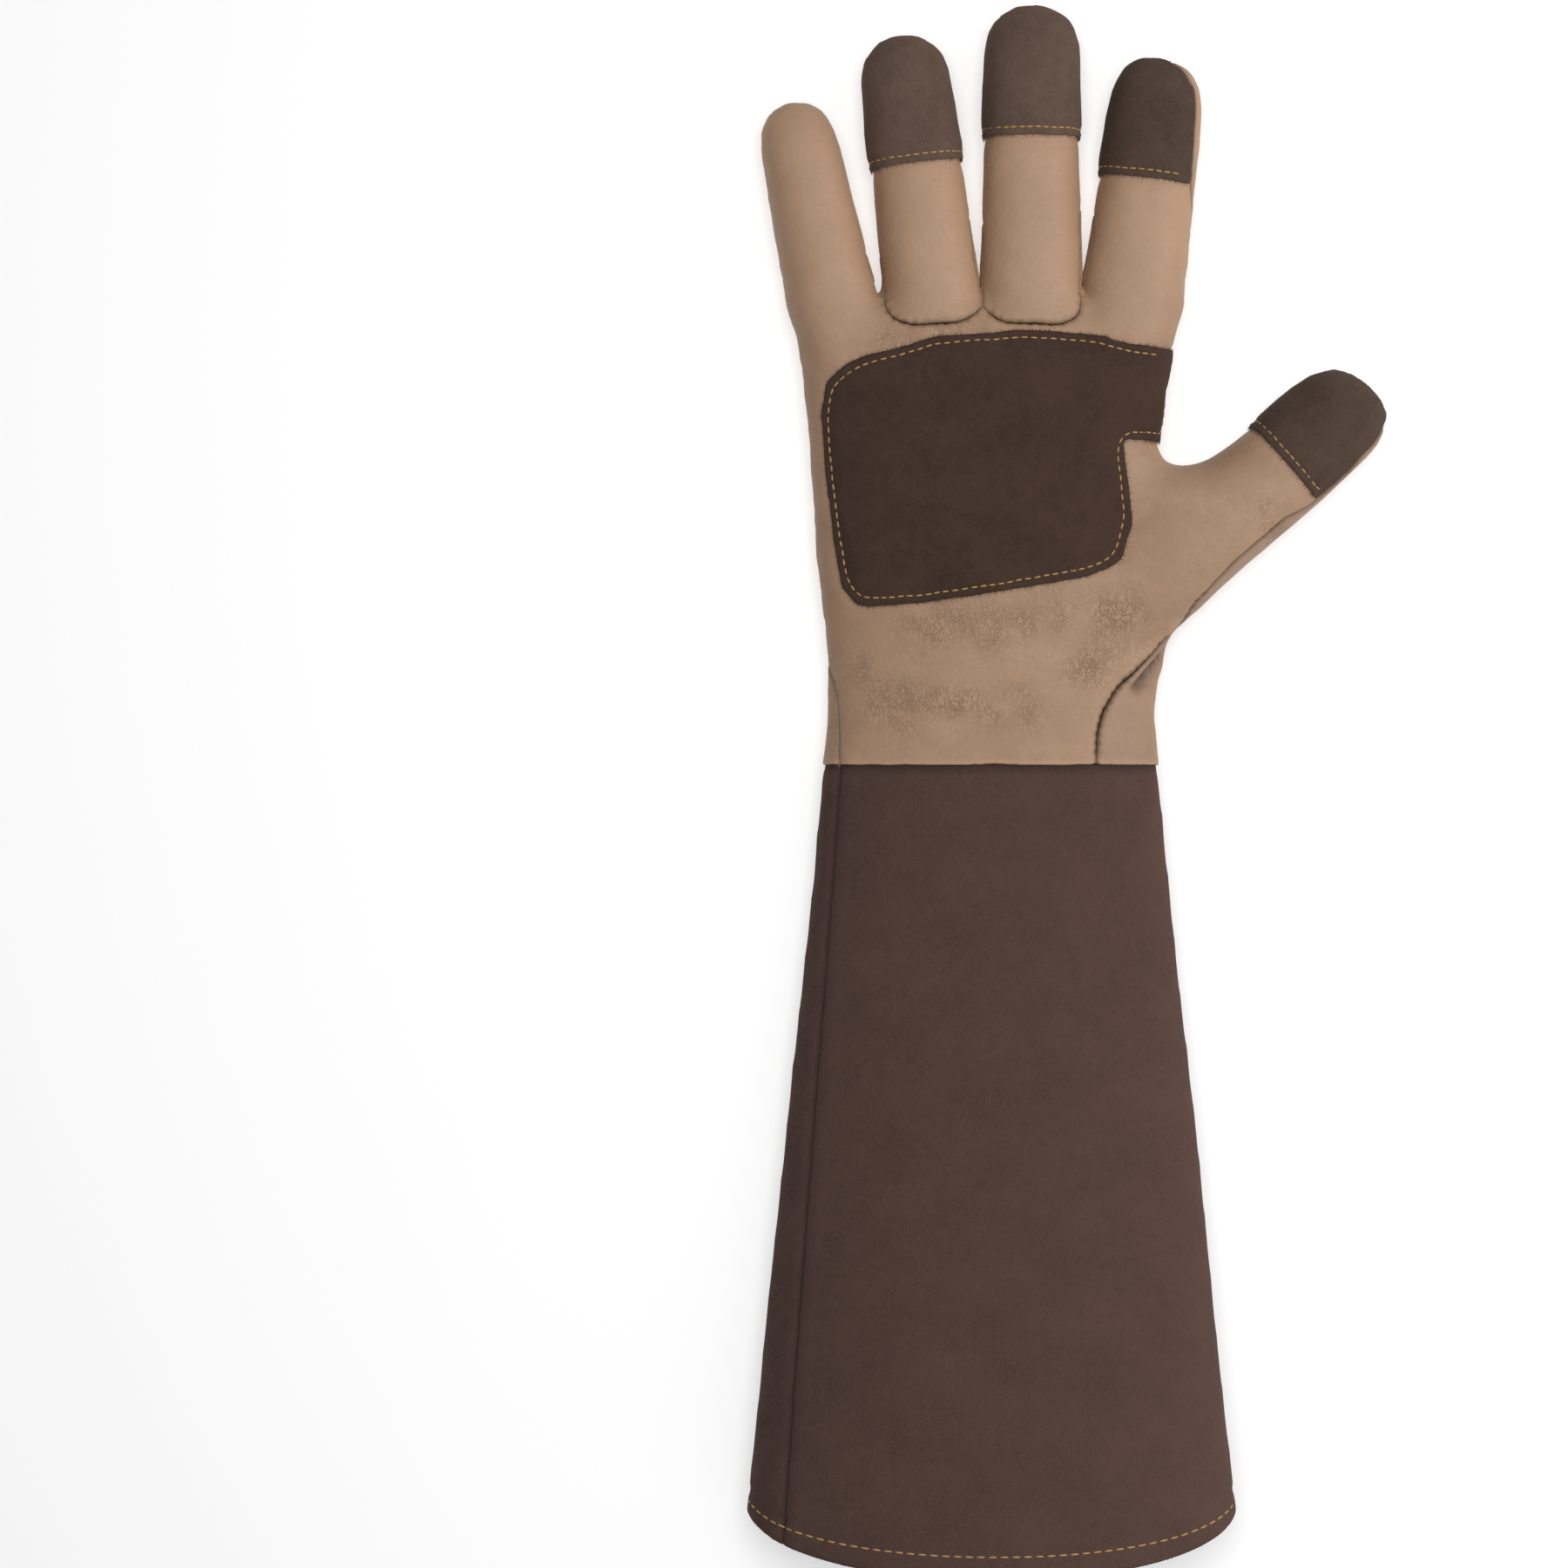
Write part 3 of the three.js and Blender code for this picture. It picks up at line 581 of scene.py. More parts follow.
def soften(mesh):
    """Rounds the joins between the tubes."""
    points = points_of(mesh)
    edges = edges_of(mesh)
    hand = from_wrist(points)
    join = hill(hand[:, 1] - HAND_LENGTH + 4, 9) * np.abs(normals_of(mesh)[:, 2])
    web = np.exp(-(((hand[:, 0] - 45) / 22) ** 2) - (((hand[:, 1] - 72) / 30) ** 2))
    weight = np.clip(0.1 + join + web, 0, 1)[:, None] * 0.8
    points = blurred(points, edges, 3, 0.6)
    set_points(mesh, above_floor(blurred(points, edges, 22, weight)))


def dents(points, upper, is_hand):
    """Soft unevenness, wider on the cuff than on the hand."""
    lift = np.zeros(len(points))
    for dent in DENTS:
        one = noise_at(points, dent["wide"], dent["seed"]) * dent["high"]
        if dent["top_only"]:
            one *= upper
        lift += one * (is_hand if dent["on_hand"] else 1 - is_hand)
    return lift


def gathers(points, hand, lower):
    """The furrows that the elastic draws at the back of the wrist."""
    wobble = noise_at(points, 14, 5) * 1.2
    waves = np.cos(2 * np.pi * hand[:, 0] / GATHER_PITCH + wobble) - 1
    return lower * hill(hand[:, 1] - GATHER_HEIGHT, 10) * waves * GATHER_DEPTH


def pleat(points, normals, hand):
    """How far the thumb's pleat lifts each point, and how much painted shade falls in its pocket
    there.
    """
    beyond, along = beyond_pleat(hand)
    window = ramp(along, 0, 0.15) * (1 - ramp(along, 0.75, 1)) * ramp(normals[:, 2], 0.0, 0.6)
    pocket = ramp(beyond, -0.6, 0.9) * hill(np.maximum(beyond, 0), 4.2) * window
    lift = PLEAT["ridge"] * hill(beyond + 1.9, 1.5) * window - PLEAT["pocket"] * pocket
    lift += pocket * noise_at(points, 2.6, 10) * 0.8
    # Painted shade along the fold and over the pocket
    shade = hill(beyond - 1.3, 1.9) * window
    return lift, np.clip(0.8 * shade + 0.5 * pocket, 0, 1)


def creased_skin(points, hand, upper, lower, is_hand):
    """1 where the leather is creased: along CREASES and round the gathers."""
    creased = lower * hill(hand[:, 1] - GATHER_HEIGHT, 16) * 0.8
    for crease in CREASES:
        distance, _ = crease_distance(hand, crease["start"], crease["end"])
        creased = np.maximum(creased, hill(distance / crease["wide"], 1.35) * upper)
    return creased * (is_hand * np.clip(0.55 + 0.75 * noise_at(points, 6, 8), 0, 1))


def fold(mesh):
    """Adds dents, the wrist's gathers, the thumb's pleat and the creased skin."""
    points = points_of(mesh)
    hand = from_wrist(points)
    is_hand = ramp(hand[:, 1], -2, 12)
    upper = ramp(points[:, 2], 6, 16)
    lower = 1 - ramp(points[:, 2], 5, 10)
    lift = dents(points, upper, is_hand) + gathers(points, hand, lower)
    palm_folds = hill(hand[:, 1] - 19, 12) * upper
    lift += palm_folds * noise_at(points * [0.45, 1.6, 1], 9, 6) * 0.35
    pleated, pocket = pleat(points, normals_of(mesh), hand)
    distance, _ = crease_distance(hand, THUMB_DENT["start"], THUMB_DENT["end"])
    lift += pleated - THUMB_DENT["deep"] * hill(distance, THUMB_DENT["wide"]) * upper
    creased = creased_skin(points, hand, upper, lower, is_hand)
    lift += creased * noise_at(points, 4.2, 9) * 0.3
    set_field(mesh, "creased", creased)
    # The pocket field is painted shade for the pleat's pocket
    set_field(mesh, "pocket", pocket)
    set_points(mesh, moved_out(mesh, lift))


# Finding the panels on the skin


def tree_over(meshes):
    """A search tree over some meshes, in millimetres."""
    points, faces = [], []
    for mesh in meshes:
        faces += [tuple(i + len(points) for i in face.vertices) for face in mesh.polygons]
        points += [vert.co / MM for vert in mesh.vertices]
    return BVHTree.FromPolygons(points, faces)


def node_tree(names):
    return tree_over(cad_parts[name].data for name in names)


def depth_in(name, points, normals, reach):
    """Distance from each point to a node's surface, below zero inside it and at most reach."""
    low, high = (np.array(corner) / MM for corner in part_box(name))
    near = np.all((points > low - reach) & (points < high + reach), axis=1)
    distances = np.full(len(points), float(reach))
    tree = node_tree([name])
    for i in np.flatnonzero(near):
        point, outward = Vector(points[i]), Vector(normals[i])
        place, _, _, distance = tree.find_nearest(point, reach)
        if place is None:
            continue
        _, facing, _, _ = tree.ray_cast(point, outward, 1.6)
        inside = facing is not None and facing.dot(outward) > 0
        distances[i] = -distance if inside else distance
    return distances


def hem_line(points):
    """How far above the bowed hem line each point lies."""
    x = (points[:, 0] - WRIST.x) / (HEM_WIDTH / 2)
    bow = HEM_BOW * (1 - np.sqrt(1 - np.clip(x * x, 0, 1)))
    return points[:, 1] - (WRIST.y - CUFF_LENGTH + bow)


def thumb_places(hand):
    """How far points lie across the thumb, to its outer side, and along it."""
    lean = math.radians(THUMB_LEAN)
    x = hand[:, 0] - THUMB_ROOT["across"] * PALM_WIDTH
    y = hand[:, 1] - THUMB_ROOT["along"] * HAND_LENGTH
    return x * math.cos(lean) - y * math.sin(lean), x * math.sin(lean) + y * math.cos(lean)


def strip_width(hand):
    """How much wider than its solid the thumb's back is, to show beside the thumb's outline."""
    across, along = thumb_places(hand)
    share = np.ones(len(hand))
    for name, sign in (("wider", 1), ("narrower", -1)):
        change = THUMB_STRIP[name]
        share += sign * change["share"] * hill(along - change["at"], change["reach"])
    strip = THUMB_STRIP["wide"] * share * ramp(across, *THUMB_STRIP["across"])
    return strip * (ramp(along, *THUMB_STRIP["begins"]) * (1 - ramp(along, *THUMB_STRIP["ends"])))


def find_panels(mesh):
    """Stores on each point how far it lies in every panel."""
    points = points_of(mesh)
    normals = normals_of(mesh)
    edges = edges_of(mesh)
    middle_of_wall = on_walls(points, normals) - normals * 0.6
    hand = from_wrist(points)
    crotch = sum(hill(hand[:, 0] - x, 4.5) for x in CROTCHES)
    crotch = np.clip(crotch * hill(hand[:, 1] - HAND_LENGTH - 5, 9), 0, 1)
    set_field(mesh, "crotch", crotch)
    for name in PANELS:
        values = blurred(depth_in(name, middle_of_wall, normals, PANEL_REACH), edges, 2)
        if name == "thumb_back":
            values -= strip_width(hand)[:, None]
        values = blurred(values, edges, 14, crotch[:, None] * 0.8)
        set_field(mesh, "in_" + name, values[:, 0])
    set_field(mesh, "hem", hem_line(points))


def on_walls(points, normals):
    """The places on the part's outer walls that the skin's points stand for."""
    walls = node_tree(PANELS)
    return np.array([walls.find_nearest(Vector(p + n * 2))[0] for p, n in zip(points, normals)])


def find_covers(mesh, rounds):
    """Stores on each point how far it lies from a cover's edge, below zero under a cover."""
    points = points_of(mesh)
    normals = normals_of(mesh)
    edges = edges_of(mesh)
    covers = node_tree(COVERS)
    starts = on_walls(points, normals) - normals * 0.5
    hits = [covers.ray_cast(Vector(p), Vector(n), 2.5)[0] for p, n in zip(starts, normals)]
    under = np.array([hit is not None for hit in hits])
    a, b = edges[under[edges[:, 0]] != under[edges[:, 1]]].T
    distance = distance_to(points, (points[a] + points[b]) / 2, COVER_REACH)
    field = blurred(np.where(under, -distance, distance), edges, rounds)
    hand = from_wrist(points)
    tips = np.maximum(ramp(hand[:, 1], 146, 152), ramp(thumb_places(hand)[1], 62, 66))
    tips *= 1 - ramp(points[:, 2], 7, 11)
    top = hill(hand[:, 1] - 120, 6) * (1 - ramp(hand[:, 0], 40, 46))
    field = blurred(field, edges, rounds * 4, np.maximum(tips, top)[:, None] * 0.7)
    set_field(mesh, "in_cover", field[:, 0])


def panel_fields(mesh):
    return np.stack([field_of(mesh, "in_" + name) for name in PANELS], axis=1)


def seam_nearness(mesh):
    """Rough distance from each point to the nearest seam or cover edge."""
    fields = np.sort(panel_fields(mesh), axis=1)
    panels = fields[:, 1] - fields[:, 0]
    cover = np.abs(field_of(mesh, "in_cover"))
    hem = np.abs(field_of(mesh, "hem"))
    pleated = np.abs(beyond_pleat(from_wrist(points_of(mesh)))[0]) - 3
    return np.minimum(np.minimum(panels, cover), np.minimum(hem, pleated))


def refine(mesh, reach):
    """Halves every edge that lies nearer to a seam than reach."""
    near = seam_nearness(mesh) < reach
    edges = edges_of(mesh)
    chosen = np.flatnonzero(near[edges[:, 0]] & near[edges[:, 1]])
    with edited(mesh) as bm:
        bmesh.ops.subdivide_edges(bm, edges=[bm.edges[i] for i in chosen], cuts=1)
        bmesh.ops.triangulate(bm, faces=[face for face in bm.faces if len(face.verts) > 3])


def cut_along(mesh, before, after):
    """Cuts the triangles where a value on the points crosses zero, through a near point if any."""
    edges = edges_of(mesh)
    a, b = before(edges[:, 0], edges[:, 1]), after(edges[:, 0], edges[:, 1])
    crossing = a * b < 0
    shares = a / np.where(crossing, a - b, 1)
    on_line = np.zeros(len(mesh.vertices), bool)
    on_line[edges[crossing & (shares < SNAP), 0]] = True
    on_line[edges[crossing & (shares > 1 - SNAP), 1]] = True
    chosen = np.flatnonzero(crossing & ~on_line[edges].any(axis=1))
    set_field(mesh, "on_line", on_line)
    with edited(mesh) as bm:
        picked = [bm.edges[i] for i in chosen]
        percents = {edge: float(share) for edge, share in zip(picked, shares[chosen])}
        made = bmesh.ops.bisect_edges(bm, edges=picked, cuts=1, edge_percents=percents)
        verts = [item for item in made["geom_split"] if isinstance(item, bmesh.types.BMVert)]
        marked = bm.verts.layers.float["on_line"]
        verts += [vert for vert in bm.verts if vert[marked] == 1]
        bmesh.ops.connect_verts(bm, verts=verts)
        bmesh.ops.triangulate(bm, faces=[face for face in bm.faces if len(face.verts) > 3])


def cut_field(mesh, name):
    values = field_of(mesh, name)
    cut_along(mesh, lambda a, b: values[a], lambda a, b: values[b])


def cut_panels(mesh):
    fields = panel_fields(mesh)
    labels = fields.argmin(axis=1)

    def difference(at):
        return lambda a, b: np.where(
            labels[a] != labels[b],
            fields[at(a, b), labels[a]] - fields[at(a, b), labels[b]],
            1.0,
        )

    cut_along(mesh, difference(lambda a, b: a), difference(lambda a, b: b))


def delete_faces(bm, doomed):
    chosen = [bm.faces[i] for i in np.flatnonzero(doomed)]
    bmesh.ops.delete(bm, geom=chosen, context="FACES")


def sides_of(mesh):
    """The two points of each side of every triangle, the first sides first."""
    corners = corners_of(mesh)
    sides = [corners[:, [0, 1]], corners[:, [1, 2]], corners[:, [2, 0]]]
    return np.sort(np.concatenate(sides), axis=1)


def shared_edges(mesh):
    """The points of every edge that two triangles share, and the two triangles."""
    pairs = sides_of(mesh)
    face = np.tile(np.arange(len(pairs) // 3), 3)
    order = np.lexsort((pairs[:, 1], pairs[:, 0]))
    pairs, face = pairs[order], face[order]
    same = np.flatnonzero(np.all(pairs[1:] == pairs[:-1], axis=1))
    return pairs[same], face[same], face[same + 1]


def settled(mesh, labels, smallest):
    """The triangles' labels after islands of fewer than smallest took the label round them."""
    _, first, second = shared_edges(mesh)
    joined = labels[first] == labels[second]
    a, b = first[joined], second[joined]
    island = np.arange(len(labels))
    while True:
        before = island.copy()
        lowest = np.minimum(island[a], island[b])
        np.minimum.at(island, a, lowest)
        np.minimum.at(island, b, lowest)
        island = island[island]
        if np.array_equal(island, before):
            break
    small = np.bincount(island, minlength=len(island))[island] < smallest
    labels = labels.copy()
    for _ in range(smallest):
        if not small.any():
            break
        for one, other in ((first, second), (second, first)):
            taken = small[one] & ~small[other]
            labels[one[taken]] = labels[other[taken]]
            small[one[taken]] = False
    return labels


def mark_faces(mesh):
    """Stores on each triangle its panel and whether a patch or cap covers it."""
    corners = corners_of(mesh)
    panels = panel_fields(mesh)[corners].mean(axis=1).argmin(axis=1)
    covered = (field_of(mesh, "in_cover")[corners].mean(axis=1) < 0).astype(int)
    labels = {
        "panel": settled(mesh, panels, SMALLEST_PANEL),
        "covered": settled(mesh, covered, SMALLEST_COVER),
    }
    for name, values in labels.items():
        attribute = mesh.attributes.new(name, "INT", "FACE")
        attribute.data.foreach_set("value", values.astype(np.int32))


def face_values(mesh, name):
    values = np.empty(len(mesh.polygons), np.int32)
    mesh.attributes[name].data.foreach_get("value", values)
    return values


def face_labels(mesh):
    return face_values(mesh, "panel")


def face_covered(mesh):
    return face_values(mesh, "covered") > 0


def border_points(mesh, labels):
    """The points on edges between triangles with different labels, with the two labels."""
    pairs, first, second = shared_edges(mesh)
    border = labels[first] != labels[second]
    low = np.minimum(labels[first], labels[second])[border]
    high = np.maximum(labels[first], labels[second])[border]
    return pairs[border], low, high


def open_points(mesh):
    """The points on the edges that only one triangle has."""
    edges, counts = np.unique(sides_of(mesh), axis=0, return_counts=True)
    return np.unique(edges[counts == 1])


def distance_to(points, seam_points, reach):
    """Distance from each point to the nearest of the seam points, at most reach."""
    result = np.full(len(points), float(reach))
    if not len(seam_points):
        return result
    tree = kdtree.KDTree(len(seam_points))
    for i, place in enumerate(seam_points):
        tree.insert(place, i)
    tree.balance()
    low, high = seam_points.min(axis=0) - reach, seam_points.max(axis=0) + reach
    for i in np.flatnonzero(np.all((points > low) & (points < high), axis=1)):
        result[i] = min(reach, tree.find(points[i])[2])
    return result


def rolled(distance, radius):
    """1 at a seam and 0 beyond radius, on the quarter circle of a rolled edge."""
    t = np.clip(1 - distance / radius, 0, 1)
    return 1 - np.sqrt(1 - t * t)


def find_seams(mesh):
    """Stores on each point its distance from the nearest seam of each kind."""
    points = points_of(mesh)
    pairs, low, high = border_points(mesh, face_labels(mesh))
    cuff = len(HAND_PANELS)
    covers, _, _ = border_points(mesh, face_covered(mesh).astype(int))
    kinds = {
        "leather": np.unique(pairs[high < cuff]),
        "wrist": np.unique(pairs[(low < cuff) & (high >= cuff)]),
        "cuff": np.unique(pairs[low >= cuff]),
        "cover": np.unique(covers),
        "hem": open_points(mesh),
    }
    for name, seam in kinds.items():
        set_field(mesh, "to_" + name, distance_to(points, points[seam], SEAM_REACH))


def bite_points(mesh, first, second, lowest, highest, pitch):
    """Evenly spaced places along the palm side of a seam, where the sewing bites."""
    pairs, low, high = border_points(mesh, face_labels(mesh))
    a, b = sorted((PANELS.index(first), PANELS.index(second)))
    above, below = WRIST.y + lowest, WRIST.y + highest

    def wanted(place):
        return place[2] > SPLIT_HEIGHT + 1 and above < place[1] < below

    run = seam_run(pairs[(low == a) & (high == b)], points_of(mesh), normals_of(mesh), wanted)
    return resampled(run[:, :3], pitch)


def press_seams(mesh, depth, radius):
    """Rolls the edges of the panels into their seams, with the puckers of the sewing, and stores
    the painted shade of the seams.
    """
    points = points_of(mesh)
    leather, cuff, cover, hem = (
        field_of(mesh, "to_" + name) for name in ("leather", "cuff", "cover", "hem")
    )
    open_seam = 1 - 0.85 * field_of(mesh, "crotch")
    near = np.flatnonzero(leather < 6)
    pucker = np.zeros(len(points))
    pucker[near] = noise_at(points[near], 2.6, 7)
    lift = -depth * rolled(leather, radius) * (1 + 0.35 * pucker) * open_seam
    lift += 0.2 * pucker * hill(leather, 2.6) * open_seam
    lift -= 0.8 * depth * rolled(cuff, 1.5)
    lift += 0.35 * hill(cuff - 3.2, 2.2)
    lift -= 0.35 * hill(cover, 2.2)
    lift -= 0.45 * hill(hem - HEM_TURN, 1.1)
    lift -= 0.9 * rolled(hem, 1.4)
    wing = distance_to(points, bite_points(mesh, "palm_panel", "thumb_back", 1, 48, 2.5), 5)
    fronts = [
        bite_points(mesh, "palm_panel", name, 110, 140, 3.1)
        for name in ("ring_front", "middle_front")
    ]
    fronts = distance_to(points, np.concatenate(fronts), 5)
    lift -= 0.55 * hill(wing, 0.95) + 0.4 * hill(fronts, 1.2)
    set_points(mesh, moved_out(mesh, lift))
    # Painted shade for the seam field: dark in the seam grooves, weaker where a seam opens at a
    # crotch, darker at the bites on the wing seam, and at least the pleat pocket's painted shade
    dark = hill(np.minimum(leather, cuff), 0.75) * (0.5 + 0.5 * open_seam)
    dark += 0.7 * hill(wing, 0.8)
    set_field(mesh, "seam", np.clip(np.maximum(dark, field_of(mesh, "pocket")), 0, 1))


@functools.cache
def glove_skin(voxel, depth, radius):
    """The whole outer skin with its panels marked, in millimetres."""
    mesh = one_skin(voxel)
    close_fingers(mesh)
    soften(mesh)
    find_panels(mesh)
    find_covers(mesh, ROUGH_SMOOTHING)
    for reach in HALVED_WITHIN:
        refine(mesh, reach)
    find_covers(mesh, COVER_SMOOTHING)
    cut_field(mesh, "hem")
    beyond_hem = field_of(mesh, "hem")[corners_of(mesh)].mean(axis=1) < 0
    with edited(mesh) as bm:
        delete_faces(bm, beyond_hem)
    cut_panels(mesh)
    cut_field(mesh, "in_cover")
    mark_faces(mesh)
    fold(mesh)
    find_seams(mesh)
    press_seams(mesh, depth, radius)
    return mesh


def skin_now():
    sizes = bpy.context.scene.gauntlet
    voxel = sizes.fineness * 1
    return glove_skin(voxel, sizes.seam_depth, sizes.seam_radius)


# Finishing pieces


def finish_piece(bm, name, material, nodes=()):
    """Turns a bmesh in millimetres into a finished piece in metres."""
    bmesh.ops.scale(bm, vec=(MM, MM, MM), verts=bm.verts[:])
    mesh = bpy.data.meshes.new(name)
    for face in bm.faces:
        face.smooth = True
    bm.to_mesh(mesh)
    bm.free()
    mesh.materials.append(material)
    piece = bpy.data.objects.new(name, mesh)
    bpy.context.scene.collection.objects.link(piece)
    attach(piece, "root")
    if nodes:
        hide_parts(*nodes)
    return piece


def add_wall(piece, thickness, group=None):
    """Gives a piece its wall, inwards, and half as thick outside the group if there is one."""
    wall = piece.modifiers.new("Wall", "SOLIDIFY")
    wall.thickness = thickness * MM
    wall.offset = -1
    wall.use_rim = True
    wall.use_even_offset = False
    if group:
        wall.vertex_group = group
        wall.thickness_vertex_group = 0.5


def skin_part(kept, step):
    """The kept triangles of the skin as a bmesh, moved outward by a step at each point."""
    skin = skin_now()
    bm = bmesh.new()
    bm.from_mesh(skin)
    for vert, place in zip(bm.verts, moved_out(skin, step)):
        vert.co = place
    bm.faces.ensure_lookup_table()
    delete_faces(bm, ~kept)
    return bm


def panel_bmesh(name):
    """The triangles of one panel, cut out of the skin, with the step at the wrist seam and, on the
    cuff, painted shadow under the hand's edge.
    """
    skin = skin_now()
    wrist = field_of(skin, "to_wrist")
    if name in HAND_PANELS:
        step = 0.45 * hill(wrist, 4) - 0.3 * rolled(wrist, 0.8)
    else:
        step = -0.35 * hill(wrist, 3)
    bm = skin_part(face_labels(skin) == PANELS.index(name), step)
    if name in CUFF_PANELS:
        # Painted shadow: the cuff's seam field is darkened just below the hand's overlapping edge
        seam = bm.verts.layers.float["seam"]
        to_wrist = bm.verts.layers.float["to_wrist"]
        for vert in bm.verts:
            vert[seam] = max(vert[seam], hill(vert[to_wrist], 1.9))
    return bm


def make_panel(name, material, thickness):
    piece = finish_piece(panel_bmesh(name), name + "_leather", material, [name])
    if name not in CUFF_PANELS:
        add_wall(piece, thickness)
        return
    turned_in = np.flatnonzero(field_of(piece.data, "to_hem") < HEM_TURN + 1.3)
    piece.vertex_groups.new(name="hem").add(turned_in.tolist(), 1.0, "REPLACE")
    add_wall(piece, thickness * 2, "hem")


def cover_bmesh(name):
    """The covered triangles of the skin under one patch or cap, lifted on to the leather."""
    low, high = (np.array(corner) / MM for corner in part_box(name))
    skin = skin_now()
    centres = points_of(skin)[corners_of(skin)].mean(axis=1)
    inside = np.all((centres > low - 3) & (centres < high + 3), axis=1) & face_covered(skin)
    edge = field_of(skin, "to_cover")
    sewn = hill(edge - COVER_SEWN, 0.9)
    return skin_part(inside, COVER_LIFT - 0.45 * sewn - 0.35 * hill(edge, 0.5))


def make_cover(name, material):
    piece = finish_piece(cover_bmesh(name), name + "_suede", material, [name])
    add_wall(piece, COVER_WALL)


# Materials


def linear(red, green, blue):
    """A colour from its red, green and blue, 0 to 255, as the renderer wants it."""
    return tuple(
        ((c / 255 + 0.055) / 1.055) ** 2.4 if c > 10 else c / 255 / 12.92
        for c in (red, green, blue)
    )


def shaded(color, factor):
    return tuple(min(1, c * factor) for c in color[:3]) + (1.0,)


class Nodes:
    """A material's node tree with short ways to add and link nodes."""

    def __init__(self, name):
        self.material = bpy.data.materials.new(name)
        self.material.use_nodes = True
        self.tree = self.material.node_tree
        self.shader = self.tree.nodes["Principled BSDF"]
        self.object = self.add("ShaderNodeTexCoord").outputs["Object"]

    def add(self, kind, **settings):
        node = self.tree.nodes.new(kind)
        for key, value in settings.items():
            setattr(node, key, value)
        return node

    def link(self, source, target):
        self.tree.links.new(source, target)

    def put(self, socket, value):
        if isinstance(value, bpy.types.NodeSocket):
            self.link(value, socket)
        else:
            socket.default_value = value

    def stretched(self, scale):
        mapping = self.add("ShaderNodeMapping")
        self.link(self.object, mapping.inputs["Vector"])
        mapping.inputs["Scale"].default_value = scale
        return mapping.outputs["Vector"]

    def noise(self, size, detail=3.0, roughness=0.5, distortion=0.0, vector=None):
        """Noise with bumps about size millimetres wide."""
        node = self.add("ShaderNodeTexNoise")
        self.link(vector or self.object, node.inputs["Vector"])
        node.inputs["Scale"].default_value = 1 / (size * MM)
        node.inputs["Detail"].default_value = detail
        node.inputs["Roughness"].default_value = roughness
        node.inputs["Distortion"].default_value = distortion
        return node.outputs["Fac"]

    def cells(self, size, feature="SMOOTH_F1"):
        node = self.add("ShaderNodeTexVoronoi", feature=feature)
        self.link(self.object, node.inputs["Vector"])
        node.inputs["Scale"].default_value = 1 / (size * MM)
        return node.outputs["Distance"]

    def attribute(self, name):
        return self.add("ShaderNodeAttribute", attribute_name=name).outputs["Fac"]

    def place(self, axis):
        node = self.add("ShaderNodeSeparateXYZ")
        self.link(self.object, node.inputs["Vector"])
        return node.outputs[axis]

    def math(self, operation, first, second=0.5):
        node = self.add("ShaderNodeMath", operation=operation)
        self.put(node.inputs[0], first)
        self.put(node.inputs[1], second)
        return node.outputs[0]

    def times(self, value, factor):
        return self.math("MULTIPLY", value, factor)

    def coarse_and_fine(self, coarse, fine):
        return self.math("ADD", self.times(coarse, 0.6), self.times(fine, 0.4))

    def spread(self, value, low, high, to_low=0.0, to_high=1.0):
        node = self.add("ShaderNodeMapRange")
        self.put(node.inputs["Value"], value)
        node.inputs["From Min"].default_value = low
        node.inputs["From Max"].default_value = high
        node.inputs["To Min"].default_value = to_low
        node.inputs["To Max"].default_value = to_high
        return node.outputs["Result"]

    def mix(self, share, first, second):
        node = self.add("ShaderNodeMix", data_type="RGBA")
        self.put(node.inputs["Factor"], share)
        self.put(node.inputs["A"], first)
        self.put(node.inputs["B"], second)
        return node.outputs["Result"]

    def bump(self, height, strength, distance, below=None):
        node = self.add("ShaderNodeBump")
        self.put(node.inputs["Strength"], strength)
        node.inputs["Distance"].default_value = distance * MM
        self.put(node.inputs["Height"], height)
        if below:
            self.link(below, node.inputs["Normal"])
        return node.outputs["Normal"]

    def finished(self, inputs):
        """The material, with the shader's inputs set or linked by their names."""
        for name, value in inputs.items():
            self.put(self.shader.inputs[name], value)
        return self.material


